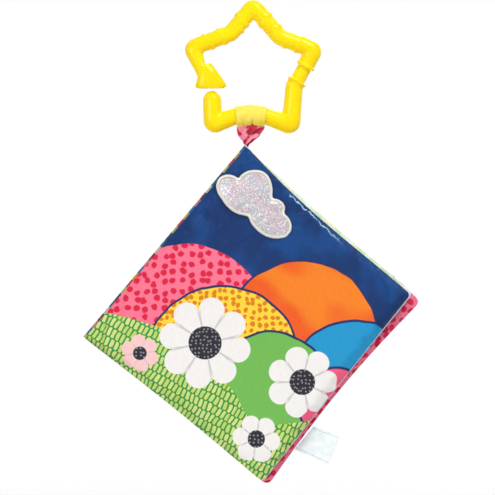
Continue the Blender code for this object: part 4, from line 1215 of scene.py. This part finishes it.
def spine_cloth(name, profile, body, nodes=(), closed=False, flip=False, gather=1.0):
    """A cloth that runs the spine's length, from (out, depth) places across it."""
    profile = np.array(profile)
    middle = profile.mean(axis=0)
    outward = profile - middle
    outward /= np.linalg.norm(outward, axis=1)[:, None] + 1e-9
    across = profile[None] + gather * gathers[:, None, None] * outward[None]
    points = on_book(down_spine[:, None] * np.ones(len(profile)), across[..., 0], across[..., 1])
    run = lengths_along(np.vstack([profile, profile[:1]]) if closed else profile)
    mm = np.stack(np.broadcast_arrays(run[None, :] * 1000, -down_spine[:, None] * 1000), axis=-1)
    piece = cloth_grid(name, points, mm, closed=closed, flip=flip)
    piece.data.materials.append(striped_satin)
    if body:
        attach(piece, body)
    if nodes:
        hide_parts(*nodes)
    return piece


def round_axis(axis_out, side, radius, start, end, count):
    """Places round a hinge axis; the angle is 0 towards the free edge and 90 at the outside."""
    angles = np.radians(np.linspace(start, end, count))
    return [(axis_out + radius * math.cos(a), side * (axis_depth + radius * math.sin(a))) for a in angles]


for name, node, axis_out, side, body in (
    ("spine_back_roll", "spine_back_fold", back_axis_out, 1, "back_cover"),
    ("spine_front_roll", "spine_front_fold", front_axis_out, -1, "page"),
):
    rolled = round_axis(axis_out, side, fold_radius, 0, 345, 24)
    spine_cloth(name, rolled, body, [node], closed=True, flip=side > 0)

hem_profile = [(panel_inset + 0.0016, seam_depth + 0.0017), (panel_inset + 0.0006, seam_depth + 0.0011),
               (panel_inset - 0.0004, seam_depth + 0.0003)]
hem_profile += round_axis(back_axis_out, 1, hem_radius, 75, 178, 12)
hem_profile += round_axis(back_axis_out, 1, inner_hem_radius, 178, 42, 14)
hem_profile += [(panel_inset - 0.0002, 0.0038), (panel_inset + 0.0002, seam_depth)]
back_hem = spine_cloth("spine_back_hem", hem_profile, "back_cover", ["back_cover_hem"], gather=0.4, flip=True)

inner_hem = round_axis(front_axis_out, -1, hem_radius, 178, 186, 2)
inner_hem += round_axis(front_axis_out, -1, inner_hem_radius, 178, 42, 14)
inner_hem += [(panel_inset - 0.0001, -0.0038), (panel_inset + 0.0002, -seam_depth)]
spine_cloth("spine_front_hem", inner_hem, "front_cover", gather=0.3)

# The web runs from the page's inner edge to the front roll, clear of the turning hems
web = [
    (0.0041, 0.0002), (0.0039, -0.0002), (0.00372, -0.0005), (0.00356, -0.00095),
    (0.00335, -0.0014), (0.0031, -0.00175),
]
spine_cloth("page_web", web, "page", gather=0.3)

# The bridges close the gaps between the leaves. The back one bulges out.
back_bulge = [
    (0.0004, 0.0041), (0.0000, 0.0035), (-0.0003, 0.0027), (-0.0008, 0.0019),
    (-0.0010, 0.0010), (-0.0005, -0.0001),
]
back_bridge = spine_cloth("spine_back_bridge", back_bulge, None, gather=0.8, flip=True)
on_book(spine_middle, 0.0, 0.0034)
on_book(spine_middle, 0.0, 0.0002)
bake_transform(back_bridge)
front_bulge = [
    (-0.00012, 0.0001), (-0.00013, -0.0006), (-0.00014, -0.0014), (-0.00012, -0.0022),
    (-0.00005, -0.0028), (0.0002, -0.0033),
]
front_bridge = spine_cloth("spine_front_bridge", front_bulge, None, gather=0.3, flip=True)
on_book(spine_middle, 0.0, -0.0002)
on_book(spine_middle, 0.0, -0.0034)
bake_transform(front_bridge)


# Cloud: glitter fabric over a thin foam pad, cut to shape and sewn to the front cover with a
# close satin stitch of cream thread, which stands up round it as a cord.

cloud_edge = (
    (-0.500, 0.238), (-0.477, 0.319), (-0.425, 0.371), (-0.345, 0.394), (-0.264, 0.378),
    (-0.206, 0.349), (-0.161, 0.394), (-0.081, 0.440), (0.022, 0.454), (0.109, 0.440),
    (0.183, 0.386), (0.227, 0.305), (0.249, 0.202), (0.247, 0.113), (0.264, 0.078),
    (0.315, 0.067), (0.381, 0.026), (0.414, -0.040), (0.410, -0.120), (0.462, -0.179),
    (0.500, -0.267), (0.492, -0.355), (0.433, -0.429), (0.345, -0.454), (0.242, -0.450),
    (0.138, -0.415), (0.037, -0.341), (-0.037, -0.252), (-0.074, -0.172), (-0.126, -0.151),
    (-0.198, -0.135), (-0.286, -0.091), (-0.367, -0.018), (-0.425, 0.063), (-0.477, 0.144),
)
stitch_width = 0.0022
stitch_height, stitch_foot = 0.0019, 0.0001
stitch_steps = 12
stitch_step_mm = 0.3
cloud_steps = 8
cover_gap = 0.00015
least_inset = 0.0011
cloud_hub = (0.054, -0.050)
patch_height, patch_puff, dimple_depth = 0.0015, 0.0011, 0.00016
foam_inset = 0.0023
foam_under, foam_height, foam_puff = 0.0004, 0.0012, 0.0006


def smooth_loop(corners, steps):
    """A closed smooth line through the corners, with their sharp valleys kept a little."""
    corners = np.array(corners)
    line = []
    for n in range(len(corners)):
        a, b, c, d = (corners[(n + k) % len(corners)] for k in (-1, 0, 1, 2))
        square, cube = 2 * a - 5 * b + 4 * c - d, 3 * b - a - 3 * c + d
        for t in np.arange(steps) / steps:
            line.append(0.5 * (2 * b + (c - a) * t + square * t**2 + cube * t**3))
    return np.array(line)


cloud_line = np.array(cloud_middle) + smooth_loop(cloud_edge, cloud_steps) * cloud_width
ahead = np.roll(cloud_line, -1, axis=0) - np.roll(cloud_line, 1, axis=0)
ahead /= np.linalg.norm(ahead, axis=1)[:, None]
inward = np.stack([ahead[:, 1], -ahead[:, 0]], axis=-1)
hub = np.array(cloud_middle) + np.array(cloud_hub) * cloud_width


def on_cover(flat, height):
    """World places on the front cover's face from metres right of and above the spine's top."""
    c, s = math.cos(hang_angle), math.sin(hang_angle)
    down = -(flat[..., 0] * c + flat[..., 1] * s)
    out_from = flat[..., 0] * s - flat[..., 1] * c
    at = np.stack([down, out_from], axis=-1)
    rise = risen(np.maximum(distance_in(at, front_face_sides), least_inset))
    return on_book(down, out_from, -seam_depth - cover_gap - outer_crown * rise - height)


shares = np.linspace(1.0, 0.0, 22)
patch_rim = cloud_line + inward * (stitch_width * 0.7)
flat = hub + (patch_rim[None] - hub) * shares[:, None, None]
right, above = flat[..., 0], flat[..., 1]
puff = patch_height + patch_puff * (1 - shares[:, None] ** 3) * np.ones(flat.shape[:2])
dimple = np.sin(right * 900) * np.sin(above * 1050 + 1) + np.sin(right * 400 + above * 530)
dimple = dimple_depth * dimple
points = on_cover(flat, puff + dimple * (1 - shares[:, None] ** 4))
mm = flat * 1000
patch = cloth_grid("cloud_patch", points, np.concatenate([mm, mm[:, :1]], axis=1), closed=True, flip=True)

pad_rim = cloud_line + inward * foam_inset
pad_shares = np.linspace(1.0, 0.0, 8)
flat = hub + (pad_rim[None] - hub) * pad_shares[:, None, None]
top = on_cover(flat, foam_height + foam_puff * (1 - pad_shares[:, None] ** 2) * np.ones(flat.shape[:2]))
under = on_cover(flat, foam_under)
rows = np.concatenate([under[::-1], top], axis=0)
mm = np.concatenate([flat[::-1], flat], axis=0) * 1000
foam = cloth_grid("cloud_foam", rows, np.concatenate([mm, mm[:, :1]], axis=1), closed=True, flip=True)

rope_rows = []
rope_mm = []
run = lengths_along(np.vstack([cloud_line, cloud_line[:1]]))
for n in range(stitch_steps + 1):
    angle = math.pi * n / stitch_steps
    shrink = stitch_width / 2 * (1 - math.cos(angle))
    height = stitch_foot + stitch_height * math.sin(angle) ** 0.7
    rope_rows.append(on_cover(cloud_line + inward * shrink, height))
    rope_mm.append(np.stack([run * 1000, np.full_like(run, n * stitch_step_mm)], axis=-1))
rope = cloth_grid("cloud_stitching", np.array(rope_rows), np.array(rope_mm), closed=True, flip=True)

# Glitter: flakes that each face their own way, with some painted white as glints
glitter, into, out = new_group(
    "glitter_flakes", [("Place", "Vector", None), ("Flake", "Float", 0.5)],
    [("Tint", "Color"), ("Bright", "Float"), ("Relief", "Float")],
)
flakes = cells_of(glitter, into["Place"], into["Flake"])
parts = glitter.nodes.new("ShaderNodeSeparateColor")
glitter.links.new(flakes["Color"], parts.inputs[0])
tints = glitter.nodes.new("ShaderNodeValToRGB")
set_stops(tints.color_ramp, (
    (0.0, "9A9FAC"), (0.3, "CDB3BC"), (0.5, "B8B7BF"), (0.7, "D6BEC4"), (0.85, "A9C0CA"), (1.0, "E8DFE2"),
))
glitter.links.new(parts.outputs[0], tints.inputs[0])
glitter.links.new(tints.outputs[0], out["Tint"])
glitter.links.new(ramp_of(glitter, parts.outputs[1], 0.80, 0.92), out["Bright"])
glitter.links.new(parts.outputs[2], out["Relief"])

glitter_cloth, tree, shader = new_finish("glitter_fabric", Metallic=0.35, Coat_Weight=0.1, Coat_Roughness=0.3)
place = place_on(tree)
flake = placed(tree, glitter, Place=place, Flake=0.45)
drift = ramp_of(tree, noise_of(tree, place, 0.10, 2.0), 0.38, 0.62)
ground = laid_over(tree, dye("BBA0A8"), dye("A6AFB1"), drift)
# Painted highlight: the brightest flakes are mixed towards white as glints
glint = sum_of(tree, "MULTIPLY", flake["Bright"], 0.7)
sparkle = laid_over(tree, laid_over(tree, ground, flake["Tint"], 0.52), dye("FFFFFF"), glint)
dulled = ramp_of(tree, flake["Relief"], 0.0, 1.0, 0.30, 0.55)
surfaced(tree, shader, sparkle, dulled, flake["Relief"], 0.00012)
patch.data.materials.append(glitter_cloth)

foam_finish, tree, shader = new_finish("cloud_foam", Sheen_Weight=0.2)
pores = noise_of(tree, place_on(tree), 2.4, 3.0, 0.6)
cells = laid_over(tree, dye("D8D4C4"), dye("F0EEE4"), ramp_of(tree, pores, 0.35, 0.6))
surfaced(tree, shader, cells, ramp_of(tree, pores, 0.2, 0.8, 0.8, 0.95), pores, 0.0003)
foam.data.materials.append(foam_finish)

stitch_thread, tree, shader = new_finish("satin_stitch_thread", Sheen_Weight=0.3, Sheen_Roughness=0.3)
place = place_on(tree)
apart = parts_of(tree, place)
strand_pitch_mm = 0.42
lay = sum_of(tree, "MULTIPLY", apart["X"], 2 * math.pi / strand_pitch_mm)
lay = sum_of(tree, "ADD", lay, sum_of(tree, "MULTIPLY", apart["Y"], 0.8))
strand = sum_of(tree, "SINE", lay)
uneven = noise_of(tree, place, 1.1, 2.0)
thread = laid_over(tree, dye("E6DFCC"), dye("FFFCF2"), ramp_of(tree, strand, -1.0, 0.2))
thread = laid_over(tree, thread, dye("F4EEDF"), sum_of(tree, "MULTIPLY", uneven, 0.5))
# Painted shade: the inner slope of the stitching, towards the glitter, is greyed
inner_side_shade = sum_of(tree, "MULTIPLY", ramp_of(tree, apart["Y"], 1.7, 2.5), 0.65)
thread = laid_over(tree, thread, dye("BDB8B2"), inner_side_shade)
surfaced(tree, shader, thread, ramp_of(tree, uneven, 0.3, 0.7, 0.42, 0.56), strand, 0.00008)
rope.data.materials.append(stitch_thread)
for piece, node, slot_name in (
    (patch, "cloud_applique", "glitter_fabric"), (foam, "cloud_foam_pad", "cloud_foam"),
    (rope, "cloud_satin_stitch", "satin_stitch_thread"),
):
    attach(piece, "front_cover")
    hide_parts(node)


# Label: a folded length of pale woven tape, caught in the back cover's edge seam and stitched
# along both sides in grey thread. It is left blank.

label_from_foot = 0.0386
label_middle = spine_length - label_from_foot
label_half = 0.0088
label_reach = 0.0178
label_lift = 0.0055
label_drop = 0.0029
label_half_thick = 0.0004
label_steps, label_rows = 26, 20
fold_steps, fold_start, fold_end = 5, 0.5, 2.64
edge_gap = 0.0003
label_swell, label_curl = 0.00035, 0.0005
stitch_inset_mm, stitch_pitch_mm = 1.3, 1.5

free_line = along_side(back_sides[1], np.linspace(0, 1, 200))[::-1]
label_ends = [label_middle - label_half, label_middle + label_half]
label_edge = np.interp(label_ends, free_line[:, 0], free_line[:, 1]).max() + edge_gap
across = np.linspace(-1, 1, label_rows + 1)[:, None]
# Along the tape: out over its front, round the fold at its tip and back behind
going = np.linspace(0, 1, label_steps + 1)
fold = np.linspace(fold_start, fold_end, fold_steps)
reach = np.r_[going, np.ones(fold_steps), going[::-1]]
over = np.r_[np.ones_like(going), np.cos(fold), -np.ones_like(going)]
past = np.r_[np.zeros_like(going), np.sin(fold), np.zeros_like(going)] * label_half_thick
run = np.r_[going, np.linspace(1.005, 1.045, fold_steps), going + 1.05]
down = label_middle + across * label_half - label_lift * reach
out_from = label_edge + (label_reach + across * label_drop) * reach + past
swell_shape = np.sin(math.pi * np.clip(reach, 0, 1)) * (1 - across**4)
curl = label_curl * (np.sin(reach * 2.6) * across + 0.5 * np.sin(reach * 5.0 + across * 2.0))
depth = seam_depth + curl - over * (label_half_thick + label_swell * swell_shape)
mm = np.stack(np.broadcast_arrays(across * label_half * 1000, run * label_reach * 1000), axis=-1)
label = cloth_grid("label_tape", on_book(down, out_from, depth), mm, flip=True)

label_tape, tree, shader = new_finish("woven_label_tape", Sheen_Weight=0.2, Sheen_Roughness=0.5)
place = place_on(tree)
apart = parts_of(tree, place)
from_side = sum_of(tree, "SUBTRACT", label_half * 1000, sum_of(tree, "ABSOLUTE", apart["X"]))
row = sum_of(tree, "ABSOLUTE", sum_of(tree, "SUBTRACT", from_side, stitch_inset_mm))
stitch = sum_of(tree, "SINE", sum_of(tree, "MULTIPLY", apart["Y"], 2 * math.pi / stitch_pitch_mm))
thread = sum_of(tree, "MULTIPLY", ramp_of(tree, row, 0.10, 0.24, 1.0, 0.0), ramp_of(tree, stitch, -0.3, 0.1))
tape = laid_over(tree, dye("E3ECEE"), dye("F3F7F7"), ramp_of(tree, noise_of(tree, place, 0.2), 0.35, 0.65))
woven(tree, shader, laid_over(tree, tape, dye("8C959B"), thread), 0.32, 0.1, 0.00003, (0.60, 0.75), 0.2)
label.data.materials.append(label_tape)
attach(label, "label")
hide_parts("woven_label")


# Studio: a pale floor a little below the toy, a wide soft lamp above and to the right, a fill
# from the left, and a long lens square to the book's cover.

floor_radius = 0.9
floor_height = -0.31
floor_sides = 96
sky_strength = 0.42
view_distance, view_width = 3.0, 0.2924
turns = [2 * math.pi * k / floor_sides for k in range(floor_sides)]
floor_mesh = bpy.data.meshes.new("floor")
floor_mesh.from_pydata(
    [(floor_radius * math.cos(a), floor_radius * math.sin(a), floor_height) for a in turns],
    [], [range(floor_sides)],
)
floor = new_piece("floor", floor_mesh)
floor_paint, tree, shader = new_finish("floor_paint", Base_Color=(0.86, 0.86, 0.86, 1.0), Roughness=0.9)
away = tree.nodes.new("ShaderNodeVectorMath")
away.operation = "LENGTH"
tree.links.new(place_on(tree, "Object"), away.inputs[0])
fading = ramp_of(tree, away.outputs["Value"], 0.40, floor_radius * 0.95, 1.0, 0.0)
tree.links.new(fading, shader.inputs["Alpha"])
floor_mesh.materials.append(floor_paint)

world = bpy.data.worlds.new("studio")
world.use_nodes = True
bpy.context.scene.world = world
tree = world.node_tree
tree.nodes.clear()
out = tree.nodes.new("ShaderNodeOutputWorld")
seen = tree.nodes.new("ShaderNodeBackground")
seen.inputs["Color"].default_value = (1.0, 1.0, 1.0, 1.0)
lighting = tree.nodes.new("ShaderNodeBackground")
lighting.inputs["Color"].default_value = (1.0, 1.0, 1.0, 1.0)
lighting.inputs["Strength"].default_value = sky_strength
rays = tree.nodes.new("ShaderNodeLightPath")
white = sum_of(tree, "MAXIMUM", rays.outputs["Is Camera Ray"], rays.outputs["Is Transmission Ray"])
white = sum_of(tree, "MAXIMUM", white, rays.outputs["Is Glossy Ray"])
choose = tree.nodes.new("ShaderNodeMixShader")
tree.links.new(white, choose.inputs[0])
tree.links.new(lighting.outputs[0], choose.inputs[1])
tree.links.new(seen.outputs[0], choose.inputs[2])
tree.links.new(choose.outputs[0], out.inputs[0])


def soft_lamp(name, place, aim, size, power):
    lamp = bpy.data.lights.new(name, "AREA")
    lamp.shape = "DISK"
    lamp.size = size
    lamp.energy = power
    made = bpy.data.objects.new(name, lamp)
    made.location = place
    made.rotation_euler = (Vector(aim) - Vector(place)).to_track_quat("-Z", "Y").to_euler()
    bpy.context.scene.collection.objects.link(made)


soft_lamp("key_lamp", (0.55, -0.85, 1.10), (0, 0, -0.12), 0.6, 17)
soft_lamp("fill_lamp", (-1.2, -1.5, 0.05), (0, 0, -0.15), 1.0, 14)
soft_lamp("back_lamp", (0.4, 1.3, 0.9), (0, 0, -0.12), 1.0, 10)

camera = bpy.data.cameras.new("camera")
camera.sensor_width = 36.0
camera.lens = camera.sensor_width * view_distance / view_width
viewer = bpy.data.objects.new("camera", camera)
viewer.location = (-0.0041, -view_distance, -0.1350)
viewer.rotation_euler = (math.pi / 2, 0.0, 0.0)
camera.clip_end = 50.0
bpy.context.scene.collection.objects.link(viewer)
bpy.context.scene.camera = viewer
bpy.context.scene.view_settings.view_transform = "Standard"
